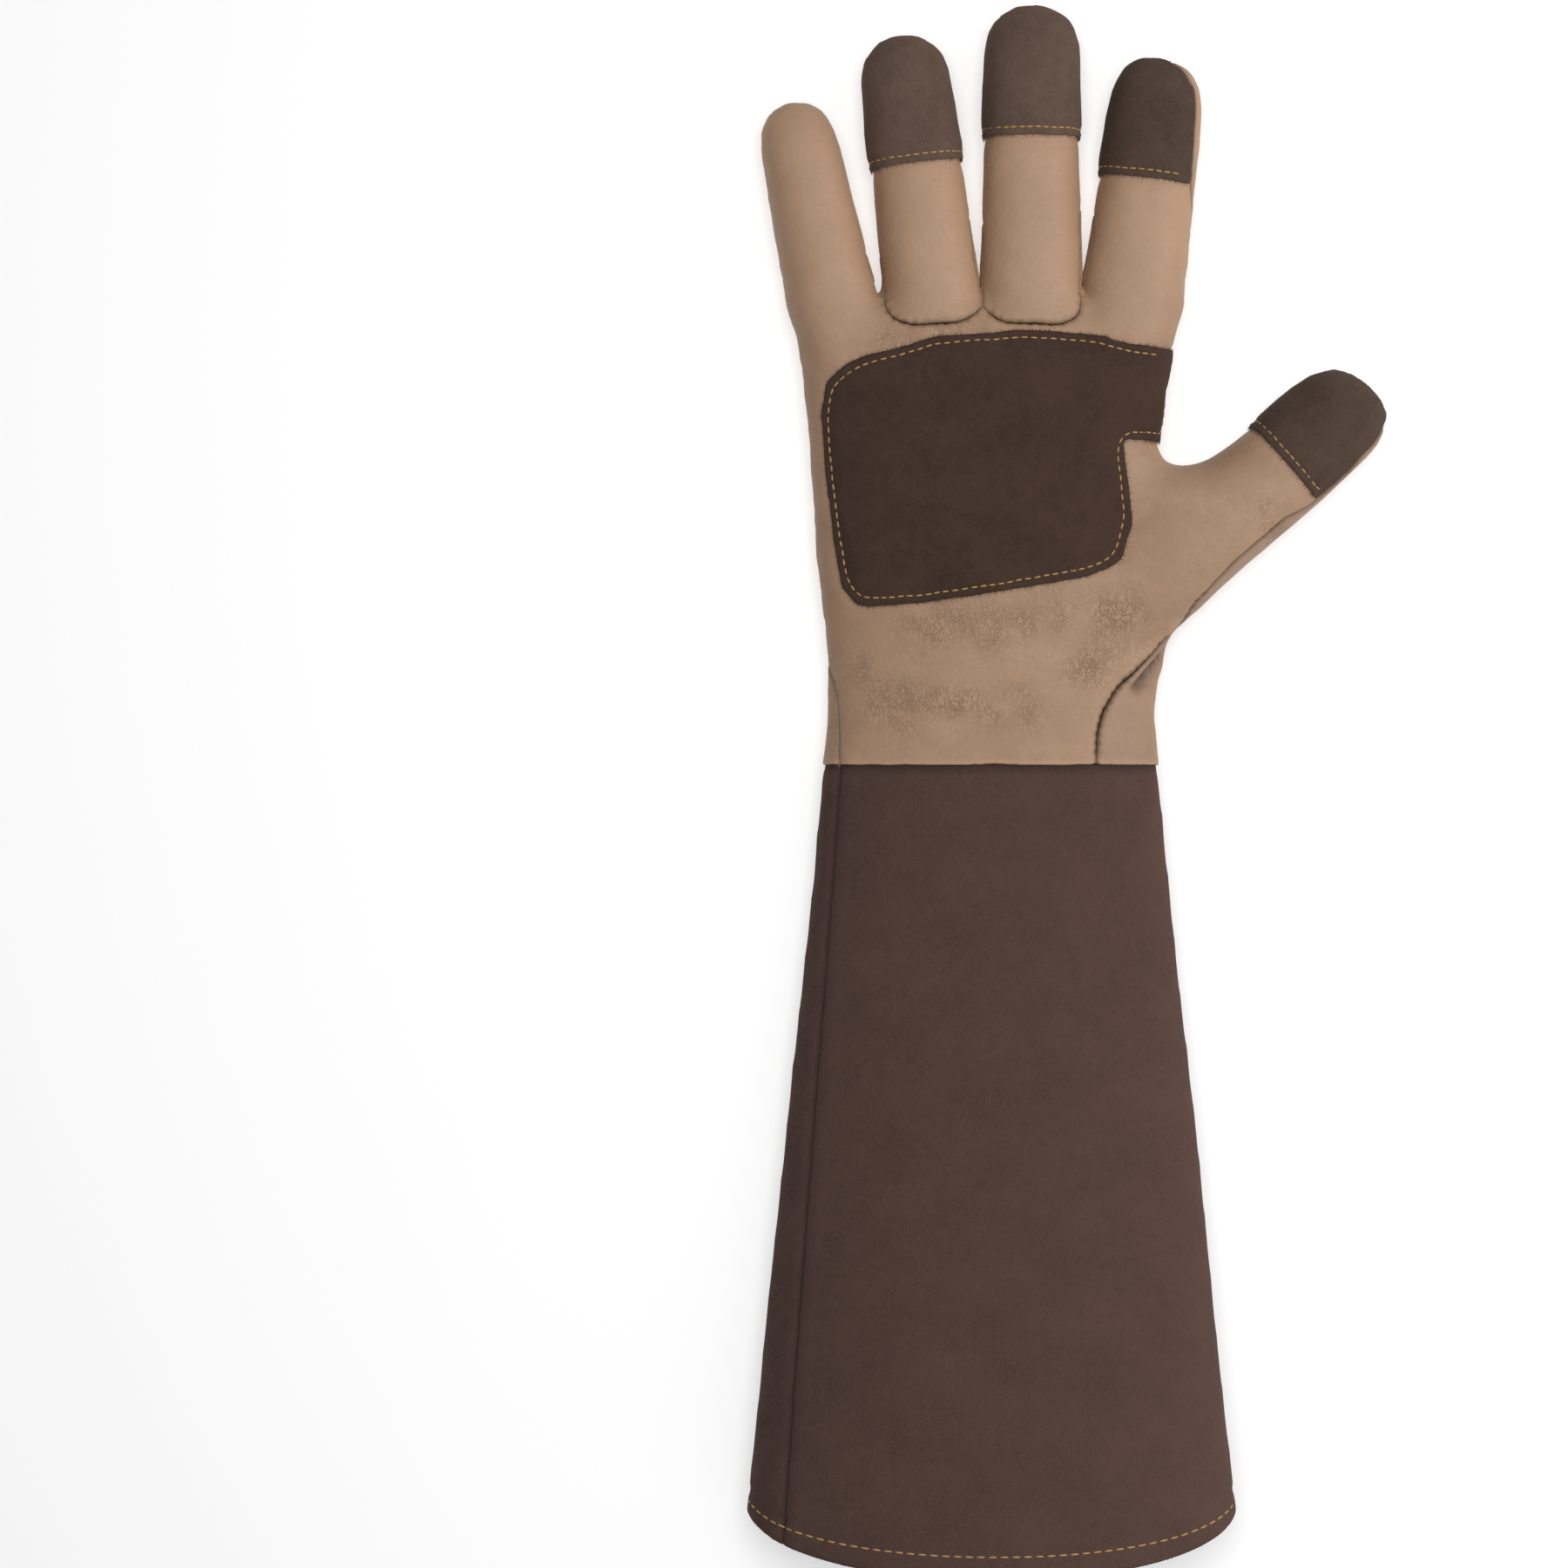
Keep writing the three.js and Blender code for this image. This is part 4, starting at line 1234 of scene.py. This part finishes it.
def leather_material(name, color):
    """Smooth grain leather: pebbled grain, pores, fine wrinkles and mottling, with painted shade in
    the seams and crease lines and a painted highlight along the wrist edge.
    """
    nodes = Nodes(name)
    patches = nodes.spread(nodes.noise(22, 4, 0.6), 0.3, 0.7)
    smaller = nodes.spread(nodes.noise(6, 4, 0.6), 0.3, 0.7)
    patches = nodes.coarse_and_fine(patches, smaller)
    specks = nodes.spread(nodes.noise(1.6, 4, 0.65), 0.3, 0.7)
    tone = nodes.mix(patches, shaded(color, 0.84), shaded(color, 1.12))
    tone = nodes.mix(nodes.times(specks, 0.35), tone, shaded(color, 0.93))
    pores = nodes.spread(nodes.cells(1.1, "DISTANCE_TO_EDGE"), 0.0, 0.09, 1.0, 0.0)
    tone = nodes.mix(nodes.times(pores, 0.1), tone, shaded(color, 0.6))
    ridges = nodes.noise(1.9, 3, 0.55, 1.1, nodes.stretched((1.25, 0.8, 1.0)))
    ridges = nodes.math("ABSOLUTE", nodes.math("SUBTRACT", ridges, 0.5))
    lines = nodes.times(nodes.spread(ridges, 0.0, 0.075, 1.0, 0.0), nodes.attribute("creased"))
    # Painted shade: the leather is darkened along the crease lines
    tone = nodes.mix(nodes.times(lines, 0.24), tone, shaded(color, 0.62))
    # Painted highlight: the hand's leather is paler along its rolled edge at the wrist seam
    painted_edge_highlight = nodes.spread(nodes.attribute("to_wrist"), 0.3, 1.6, 0.4, 0.0)
    tone = nodes.mix(painted_edge_highlight, tone, shaded(color, 1.4))
    fingers = nodes.spread(nodes.place("Y"), 0.11, 0.15, 0.0, 0.75)
    paler = nodes.mix(patches, shaded(color, 1.08), shaded(color, 1.22))
    tone = nodes.mix(fingers, tone, paler)
    # Painted shade from the seam field: darker in the seam grooves, at the sewing bites and in the
    # pleat's pocket
    tone = nodes.mix(nodes.times(nodes.attribute("seam"), 0.75), tone, shaded(color, 0.32))
    wrinkles = nodes.noise(5, 5, 0.62, 0.6, nodes.stretched((0.55, 1.5, 1.0)))
    normal = nodes.bump(wrinkles, 0.5, 0.55)
    normal = nodes.bump(nodes.math("SUBTRACT", 1.0, lines), 0.7, 0.35, normal)
    normal = nodes.bump(nodes.cells(1.1), 0.35, 0.16, normal)
    normal = nodes.bump(nodes.noise(0.45, 3, 0.6), 0.3, 0.1, normal)
    return nodes.finished({
        "Base Color": tone,
        "Roughness": nodes.spread(specks, 0, 1, 0.5, 0.66),
        "Specular IOR Level": 0.32,
        "Normal": normal,
    })


def suede_material(name, color, contrast, grain=(1.0, 1.0, 1.0), across=0.0):
    """Napped suede: brushed patches, fibre specks and a soft sheen, with painted light that makes
    it paler to the thumb's side and painted shade in the seams.
    """
    nodes = Nodes(name)
    brushed_and_painted_light = nodes.spread(nodes.noise(16, 5, 0.62), 0.3, 0.7)
    finer = nodes.spread(nodes.noise(3.5, 4, 0.6, 0.4), 0.3, 0.7)
    brushed_and_painted_light = nodes.coarse_and_fine(brushed_and_painted_light, finer)
    # Painted light: a gradient across the glove, paler to the thumb's side, mixed into the brushed
    # patches
    side = nodes.spread(nodes.place("X"), -0.09, 0.05, 0.0, across)
    brushed_and_painted_light = nodes.math("ADD", nodes.times(brushed_and_painted_light, 1 - across), side)
    nap = nodes.spread(nodes.noise(0.7, 5, 0.72, 0.3, nodes.stretched(grain)), 0.32, 0.68)
    tone = nodes.mix(brushed_and_painted_light, shaded(color, 1 - contrast), shaded(color, 1 + contrast))
    tone = nodes.mix(nodes.times(nap, 0.55), tone, shaded(color, 1.45))
    fibres = nodes.spread(nodes.noise(0.32, 2, 0.6), 0.42, 0.72)
    tone = nodes.mix(nodes.times(fibres, 0.35), tone, shaded(color, 0.45))
    # Painted shade from the seam field: darker in the seams and just below the hand's edge at the
    # wrist
    tone = nodes.mix(nodes.times(nodes.attribute("seam"), 0.6), tone, shaded(color, 0.35))
    normal = nodes.bump(nodes.noise(6, 4, 0.6), 0.3, 0.5)
    return nodes.finished({
        "Base Color": tone,
        "Roughness": 0.95,
        "Specular IOR Level": 0.12,
        "Sheen Weight": 0.25,
        "Sheen Roughness": 0.55,
        "Sheen Tint": shaded(color, 2.2),
        "Normal": nodes.bump(nap, 0.6, 0.22, normal),
    })


def thread_material(name, color):
    """Waxed sewing thread with a fine twist."""
    nodes = Nodes(name)
    return nodes.finished({
        "Base Color": nodes.mix(nodes.noise(1.4, 2), shaded(color, 0.75), shaded(color, 1.2)),
        "Roughness": 0.55,
        "Normal": nodes.bump(nodes.noise(0.25, 2), 0.6, 0.08),
    })


def floor_material(color):
    nodes = Nodes("pale_floor")
    return nodes.finished({
        "Base Color": nodes.mix(nodes.noise(60, 3), shaded(color, 0.995), shaded(color, 1.0)),
        "Roughness": 0.9,
        "Specular IOR Level": 0.1,
    })


# Stitches and nap


def border_chain(mesh):
    """The longest open edge loop of a mesh in order, as points with their inward directions."""
    bm = bmesh.new()
    bm.from_mesh(mesh)
    bm.normal_update()
    left = dict.fromkeys(edge for edge in bm.edges if len(edge.link_faces) == 1)
    best = []
    while left:
        edge, _ = left.popitem()
        chain = [edge.verts[0], edge.verts[1]]
        while True:
            onward = [e for e in chain[-1].link_edges if e in left]
            if not onward:
                break
            del left[onward[0]]
            chain.append(onward[0].other_vert(chain[-1]))
        if len(chain) > len(best):
            best = chain
    places = np.array([vert.co for vert in best])
    normals = np.array([vert.normal for vert in best])
    bm.free()
    return places, normals


def resampled(places, spacing):
    """Points at even spacing along a chain of points."""
    steps = np.linalg.norm(np.diff(places, axis=0), axis=1)
    lengths = np.concatenate([[0], np.cumsum(steps)])
    count = max(2, int(round(lengths[-1] / spacing)))
    at = np.linspace(0, lengths[-1], count, endpoint=False)
    return np.stack([np.interp(at, lengths, places[:, k]) for k in range(places.shape[1])], axis=1)


def smoothed_loop(values, rounds):
    for _ in range(rounds):
        values = (np.roll(values, 1, axis=0) + np.roll(values, -1, axis=0) + 2 * values) / 4
    return values


def surface_of(names):
    """The finished outer surfaces of some pieces, in millimetres."""
    return tree_over(bpy.data.objects[name].data for name in names)


def border_line(mesh, spacing, rounds):
    """A mesh's border at even spacing, smoothed: places, normals, tangents and sideways."""
    places, normals = border_chain(mesh)
    both = resampled(np.concatenate([places / MM, normals], axis=1), spacing)
    both = smoothed_loop(both, rounds)
    places, normals = both[:, :3], both[:, 3:]
    tangents = np.roll(places, -2, axis=0) - np.roll(places, 2, axis=0)
    sideways = np.cross(normals, tangents)
    sideways /= np.linalg.norm(sideways, axis=1)[:, None]
    return places, normals, tangents, sideways


def inset_line(piece, inset, wanted):
    """A line inside a piece's border, as runs of points on its surface where they are wanted."""
    places, _, _, inward = border_line(piece.data, 0.5, 30)
    tree = surface_of([piece.name])
    tried = range(0, len(places), 10)
    first = sum(tree.find_nearest(Vector(places[i] + inward[i] * 3))[3] for i in tried)
    second = sum(tree.find_nearest(Vector(places[i] - inward[i] * 3))[3] for i in tried)
    if second < first:
        inward = -inward
    runs = [[]]
    for place, direction in zip(places, inward):
        if wanted(place):
            found, normal, _, _ = tree.find_nearest(Vector(place + direction * inset))
            runs[-1].append(np.array([*found, *normal]))
        elif runs[-1]:
            runs.append([])
    runs = [np.array(run) for run in runs if len(run) > 6]
    if len(runs) > 1 and wanted(places[0]) and wanted(places[-1]):
        runs[0] = np.concatenate([runs.pop(), runs[0]])
    return runs


def bead_template():
    """A small spindle along X, one unit long and wide."""
    bm = bmesh.new()
    bmesh.ops.create_uvsphere(bm, u_segments=6, v_segments=5, radius=0.5)
    bmesh.ops.rotate(bm, verts=bm.verts[:], matrix=Matrix.Rotation(math.pi / 2, 3, "Y"))
    return bm


def fibre_template():
    """A thin spike along X, one unit long."""
    bm = bmesh.new()
    bmesh.ops.create_cone(bm, segments=3, radius1=0.5, radius2=0.0, depth=1.0)
    bmesh.ops.rotate(bm, verts=bm.verts[:], matrix=Matrix.Rotation(math.pi / 2, 3, "Y"))
    bmesh.ops.translate(bm, verts=bm.verts[:], vec=(0.5, 0, 0))
    return bm


def copies_of(template, placements):
    """One mesh of many copies of a template, each placed by its own matrix."""
    one = bpy.data.meshes.new("template")
    template.to_mesh(one)
    template.free()
    points = points_of(one)
    faces = [tuple(face.vertices) for face in one.polygons]
    bpy.data.meshes.remove(one)
    padded = np.concatenate([points, np.ones((len(points), 1))], axis=1)
    placed = np.einsum("nij,pj->npi", np.array(placements), padded)[:, :, :3].reshape(-1, 3)
    placed = above_floor(placed)
    shifts = np.arange(len(placements)) * len(points)
    all_faces = [tuple(int(i + shift) for i in face) for shift in shifts for face in faces]
    mesh = bpy.data.meshes.new("copies")
    mesh.from_pydata(placed.tolist(), [], all_faces)
    bm = bmesh.new()
    bm.from_mesh(mesh)
    bpy.data.meshes.remove(mesh)
    return bm


def placement(place, along, normal, length, width, height):
    """A matrix that puts a unit shape at a place, along a direction on the surface."""
    x = Vector(along).normalized()
    z = (Vector(normal) - x * Vector(normal).dot(x)).normalized()
    y = z.cross(x)
    matrix = Matrix.Identity(4)
    for row in range(3):
        matrix[row][0] = x[row] * length
        matrix[row][1] = y[row] * width
        matrix[row][2] = z[row] * height
        matrix[row][3] = place[row]
    return np.array(matrix)


def stitch_places(run, pitch, length, width, sunk=0.05):
    """Placements of stitches along a run of surface points."""
    line = resampled(run, pitch)
    placed = []
    for here, there in zip(line, line[1:]):
        normal = here[3:]
        middle = (here[:3] + there[:3]) / 2 - normal * sunk
        placed.append(placement(middle, there[:3] - here[:3], normal, length, width, width))
    return placed


def seam_run(pairs, points, normals, wanted):
    """Points on the skin along one seam, put in order from their neighbours."""
    kept = [tuple(pair) for pair in pairs if wanted(points[pair[0]]) and wanted(points[pair[1]])]
    links = {}
    for a, b in kept:
        links.setdefault(a, []).append(b)
        links.setdefault(b, []).append(a)
    best = []
    left = set(links)
    while left:
        ends = [v for v in left if len(links[v]) == 1] or list(left)
        chain = [min(ends)]
        left.discard(chain[0])
        while True:
            onward = [v for v in links[chain[-1]] if v in left]
            if not onward:
                break
            chain.append(onward[0])
            left.discard(onward[0])
        if len(chain) > len(best):
            best = chain
    return np.concatenate([points[best], normals[best]], axis=1)


# What the user can change


class GauntletSizes(bpy.types.PropertyGroup):
    fineness: FloatProperty(
        name="Fineness", description="Width of the skin's smallest squares, in millimetres",
        default=1.7, min=0.8, max=4)
    seam_depth: FloatProperty(
        name="Seam depth", description="How deep the edges roll into a seam, in millimetres",
        default=1.0, min=0, max=3)
    seam_radius: FloatProperty(
        name="Seam radius", description="How wide the roll beside a seam is, in millimetres",
        default=1.7, min=0.5, max=5)
    leather_thickness: FloatProperty(
        name="Leather", description="Thickness of the leather, in millimetres",
        default=1.2, min=0.6, max=3)
    suede_thickness: FloatProperty(
        name="Suede", description="Thickness of the cuff's suede, in millimetres",
        default=1.4, min=0.6, max=3)
    stitch_pitch: FloatProperty(
        name="Stitch pitch", description="Distance between stitches, in millimetres",
        default=2.9, min=1, max=6)
    stitch_length: FloatProperty(
        name="Stitch length", description="Length of one stitch, in millimetres",
        default=2.0, min=0.5, max=5)
    thread_width: FloatProperty(
        name="Thread width", description="Width of the thread, in millimetres",
        default=0.6, min=0.2, max=2)
    nap_count: IntProperty(
        name="Nap fibres", description="Number of fibres along the suede's edges",
        default=15000, min=0, max=30000)
    nap_length: FloatProperty(
        name="Nap length", description="Length of a fibre, in millimetres",
        default=1.5, min=0.2, max=5)
    tan_color: FloatVectorProperty(
        name="Tan leather", description="Colour of the hand",
        subtype="COLOR", default=linear(151, 121, 97))
    thumb_color: FloatVectorProperty(
        name="Thumb leather", description="Colour of the thumb's back",
        subtype="COLOR", default=linear(145, 117, 95))
    patch_color: FloatVectorProperty(
        name="Patch suede", description="Colour of the palm patch",
        subtype="COLOR", default=linear(61, 46, 39))
    cap_color: FloatVectorProperty(
        name="Cap suede", description="Colour of the fingertip caps",
        subtype="COLOR", default=linear(90, 73, 63))
    cuff_color: FloatVectorProperty(
        name="Cuff suede", description="Colour of the cuff",
        subtype="COLOR", default=linear(74, 56, 50))
    thread_color: FloatVectorProperty(
        name="Thread", description="Colour of the thread",
        subtype="COLOR", default=linear(160, 124, 74))
    floor_color: FloatVectorProperty(
        name="Floor", description="Colour of the floor",
        subtype="COLOR", default=(0.95, 0.95, 0.95))


# Operators


class GAUNTLET_OT_tan_panels(bpy.types.Operator):
    """Build the tan leather of the hand"""

    bl_idname = "gauntlet.tan_panels"
    bl_label = "Tan panels"

    def execute(self, context):
        sizes = context.scene.gauntlet
        tan = leather_material("tan_leather", sizes.tan_color)
        for name in HAND_PANELS:
            if name != "thumb_back":
                make_panel(name, tan, sizes.leather_thickness)
        return {"FINISHED"}


class GAUNTLET_OT_thumb_back(bpy.types.Operator):
    """Build the back of the thumb with its wing"""

    bl_idname = "gauntlet.thumb_back"
    bl_label = "Thumb back"

    def execute(self, context):
        sizes = context.scene.gauntlet
        material = leather_material("thumb_leather", sizes.thumb_color)
        make_panel("thumb_back", material, sizes.leather_thickness)
        return {"FINISHED"}


class GAUNTLET_OT_cuff(bpy.types.Operator):
    """Build the two suede panels of the cuff"""

    bl_idname = "gauntlet.cuff"
    bl_label = "Cuff"

    def execute(self, context):
        sizes = context.scene.gauntlet
        # The last number is the share of painted light that makes the cuff paler to the thumb's
        # side
        suede = suede_material("cuff_suede", sizes.cuff_color, 0.42, (1.6, 0.7, 1.0), 0.45)
        for name in CUFF_PANELS:
            make_panel(name, suede, sizes.suede_thickness)
        return {"FINISHED"}


class GAUNTLET_OT_palm_patch(bpy.types.Operator):
    """Build the suede patch on the palm"""

    bl_idname = "gauntlet.palm_patch"
    bl_label = "Palm patch"

    def execute(self, context):
        color = context.scene.gauntlet.patch_color
        make_cover("palm_patch", suede_material("patch_suede", color, 0.38))
        return {"FINISHED"}


class GAUNTLET_OT_caps(bpy.types.Operator):
    """Build the suede caps on the fingertips and thumb"""

    bl_idname = "gauntlet.caps"
    bl_label = "Fingertip caps"

    def execute(self, context):
        color = context.scene.gauntlet.cap_color
        light = suede_material("cap_suede", shaded(color, 0.92), 0.36)
        dark = suede_material("dark_cap_suede", shaded(color, 0.62), 0.36)
        for name in CAPS:
            make_cover(name, dark if name in DARK_CAPS else light)
        return {"FINISHED"}


class GAUNTLET_OT_stitching(bpy.types.Operator):
    """Sew the patch, the caps, the hem and the zigzag over the wrist's elastic"""

    bl_idname = "gauntlet.stitching"
    bl_label = "Stitching"

    def execute(self, context):
        sizes = context.scene.gauntlet
        pitch, length, width = sizes.stitch_pitch, sizes.stitch_length, sizes.thread_width
        thread = thread_material("gold_thread", sizes.thread_color)
        placed = []
        patch = bpy.data.objects["palm_patch_suede"]
        patch_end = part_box("palm_patch")[1].x / MM - 4
        for run in inset_line(patch, COVER_SEWN, lambda place: place[0] < patch_end):
            placed += stitch_places(run, pitch, length, width)
        for name in CAPS:
            piece = bpy.data.objects[name + "_suede"]
            for run in inset_line(piece, COVER_SEWN, cap_edge_test(name)):
                placed += stitch_places(run, pitch * 0.95, length, width)
        cuff = surface_of([name + "_leather" for name in CUFF_PANELS])
        for side in (1, -1):
            placed += stitch_places(projected(cuff, hem_stitch_line(), side), 3.3, 2.5, width * 1.1)
        back = surface_of(["back_panel_leather"])
        placed += stitch_places(projected(back, zigzag_line(), -1), 2.4, 1.7, width)
        finish_piece(copies_of(bead_template(), placed), "thread", thread)
        return {"FINISHED"}


def cap_edge_test(name):
    """Says whether a point lies on a cap's lower edge, up on the palm side."""
    lean = THUMB_LEAN if name == "thumb_cap" else FINGERS[1 + CAPS.index(name)]["lean"]
    angle = math.radians(lean)
    along = np.array([math.sin(angle), math.cos(angle)])
    places = points_of(bpy.data.objects[name + "_suede"].data)[:, :2] / MM
    start = (places @ along).min()
    return lambda place: place[:2] @ along < start + 2.2 and place[2] > SPLIT_HEIGHT - 3


def hem_stitch_line():
    """Places along the bowed hem, one hem's turning in from its edge, as seen from above."""
    line = []
    for angle in np.linspace(-1.5, 1.5, 200):
        height = HEM_BOW * (1 - math.cos(angle)) + HEM_TURN * (1 - 0.3 * math.sin(angle) ** 2)
        x = WRIST.x + HEM_WIDTH / 2 * math.sin(angle)
        line.append((x, WRIST.y - CUFF_LENGTH + height))
    return line


def zigzag_line():
    """The zigzag sewn over the elastic at the back of the wrist, as seen from above."""
    line = []
    for x in np.arange(-42, 38, GATHER_PITCH / 16):
        wave = abs((x / GATHER_PITCH) % 1 - 0.5) * 4 - 1
        line.append((WRIST.x + x, WRIST.y + GATHER_HEIGHT + ZIGZAG_HEIGHT * wave))
    return line


def projected(surface, line, side):
    """A run of points with normals where a line meets a surface, from above or from below."""
    run = []
    for x, y in line:
        place, normal, _, _ = surface.ray_cast(Vector((x, y, side * 90)), Vector((0, 0, -side)))
        if place is not None:
            run.append(np.array([*place, *normal]))
    return np.array(run)


class GAUNTLET_OT_nap(bpy.types.Operator):
    """Raise the nap along the edges of the patch and the caps"""

    bl_idname = "gauntlet.nap"
    bl_label = "Nap"

    def execute(self, context):
        sizes = context.scene.gauntlet
        random = np.random.default_rng(7)
        groups = [
            ("patch_nap", ["palm_patch"], sizes.patch_color),
            ("cap_nap", CAPS, sizes.cap_color),
        ]
        for piece_name, names, color in groups:
            placed = []
            for name in names:
                cover = bpy.data.objects[name + "_suede"].data
                placed += fibre_places(cover, sizes.nap_count, sizes.nap_length, random)
            material = thread_material(piece_name, color)
            finish_piece(copies_of(fibre_template(), placed), piece_name, material)
        return {"FINISHED"}


def fibre_places(mesh, nap_count, nap_length, random):
    """Placements of the fibres that stand out from a cover's border."""
    places, normals, tangents, sideways = border_line(mesh, NAP_SPACING, NAP_SMOOTHING)
    outward = -sideways
    if np.mean(np.einsum("ij,ij->i", outward, places - places.mean(axis=0))) < 0:
        outward = -outward
    share = len(places) / NAP_BORDER
    placed = []
    for i in random.integers(0, len(places), int(nap_count * share)):
        spin = random.normal(0, 0.7)
        tangent = tangents[i] / np.linalg.norm(tangents[i])
        along = outward[i] + tangent * spin + normals[i] * random.uniform(-0.1, 0.35)
        start = places[i] - outward[i] * random.uniform(0.2, 1.1) - normals[i] * 0.1
        length = nap_length * random.uniform(0.5, 1.3)
        placed.append(placement(start, along, normals[i], length, FIBRE_WIDTH, FIBRE_WIDTH))
    return placed


def add_light(name, place, size, energy):
    """A large soft lamp that looks at the glove."""
    lamp = bpy.data.lights.new(name, "AREA")
    lamp.shape = "DISK"
    lamp.size = size
    lamp.energy = energy
    holder = bpy.data.objects.new(name, lamp)
    holder.location = place
    holder.rotation_euler = (-Vector(place)).to_track_quat("-Z", "Y").to_euler()
    bpy.context.scene.collection.objects.link(holder)
    holder.visible_camera = False
    return holder


class GAUNTLET_OT_stage(bpy.types.Operator):
    """Set the pale floor, the soft studio light and the camera"""

    bl_idname = "gauntlet.stage"
    bl_label = "Stage"

    def execute(self, context):
        scene = context.scene
        bm = bmesh.new()
        bmesh.ops.create_grid(bm, x_segments=8, y_segments=8, size=3)
        mesh = bpy.data.meshes.new("floor")
        bm.to_mesh(mesh)
        bm.free()
        floor = bpy.data.objects.new("floor", mesh)
        scene.collection.objects.link(floor)
        mesh.materials.append(floor_material(scene.gauntlet.floor_color))
        world = bpy.data.worlds.new("studio")
        scene.world = world
        world.use_nodes = True
        sky = world.node_tree.nodes["Background"].inputs
        sky["Color"].default_value = (1, 1, 1, 1)
        sky["Strength"].default_value = 0.32
        add_light("overhead", (-0.05, 0.2, 1.5), 0.9, 9)
        add_light("key", (1.0, 0.1, 1.1), 0.9, 16).data.use_shadow = False
        camera = bpy.data.cameras.new("camera")
        camera.lens = LENS
        camera.sensor_width = SENSOR_WIDTH
        holder = bpy.data.objects.new("camera", camera)
        holder.location = (FRAME_MIDDLE, 0.0, FRAME_WIDTH * LENS / SENSOR_WIDTH)
        scene.collection.objects.link(holder)
        scene.camera = holder
        scene.view_settings.view_transform = "Standard"
        return {"FINISHED"}


class GAUNTLET_PT_panel(bpy.types.Panel):
    bl_idname = "GAUNTLET_PT_panel"
    bl_label = "Rose pruning gauntlet"
    bl_space_type = "VIEW_3D"
    bl_region_type = "UI"
    bl_category = "Gauntlet"

    def draw(self, context):
        for operator in OPERATORS:
            self.layout.operator(operator.bl_idname)
        for name in GauntletSizes.__annotations__:
            self.layout.prop(context.scene.gauntlet, name)


OPERATORS = [
    GAUNTLET_OT_tan_panels,
    GAUNTLET_OT_thumb_back,
    GAUNTLET_OT_cuff,
    GAUNTLET_OT_palm_patch,
    GAUNTLET_OT_caps,
    GAUNTLET_OT_stitching,
    GAUNTLET_OT_nap,
    GAUNTLET_OT_stage,
]
CLASSES = [GauntletSizes, *OPERATORS, GAUNTLET_PT_panel]


def register():
    for item in CLASSES:
        bpy.utils.register_class(item)
    bpy.types.Scene.gauntlet = PointerProperty(type=GauntletSizes)


def unregister():
    del bpy.types.Scene.gauntlet
    for item in reversed(CLASSES):
        bpy.utils.unregister_class(item)


def main():
    register()
    bpy.ops.gauntlet.tan_panels()
    bpy.ops.gauntlet.thumb_back()
    bpy.ops.gauntlet.cuff()
    bpy.ops.gauntlet.palm_patch()
    bpy.ops.gauntlet.caps()
    bpy.ops.gauntlet.stitching()
    bpy.ops.gauntlet.nap()
    bpy.ops.gauntlet.stage()
    bpy.context.view_layer.update()


if __name__ == "__main__":
    main()
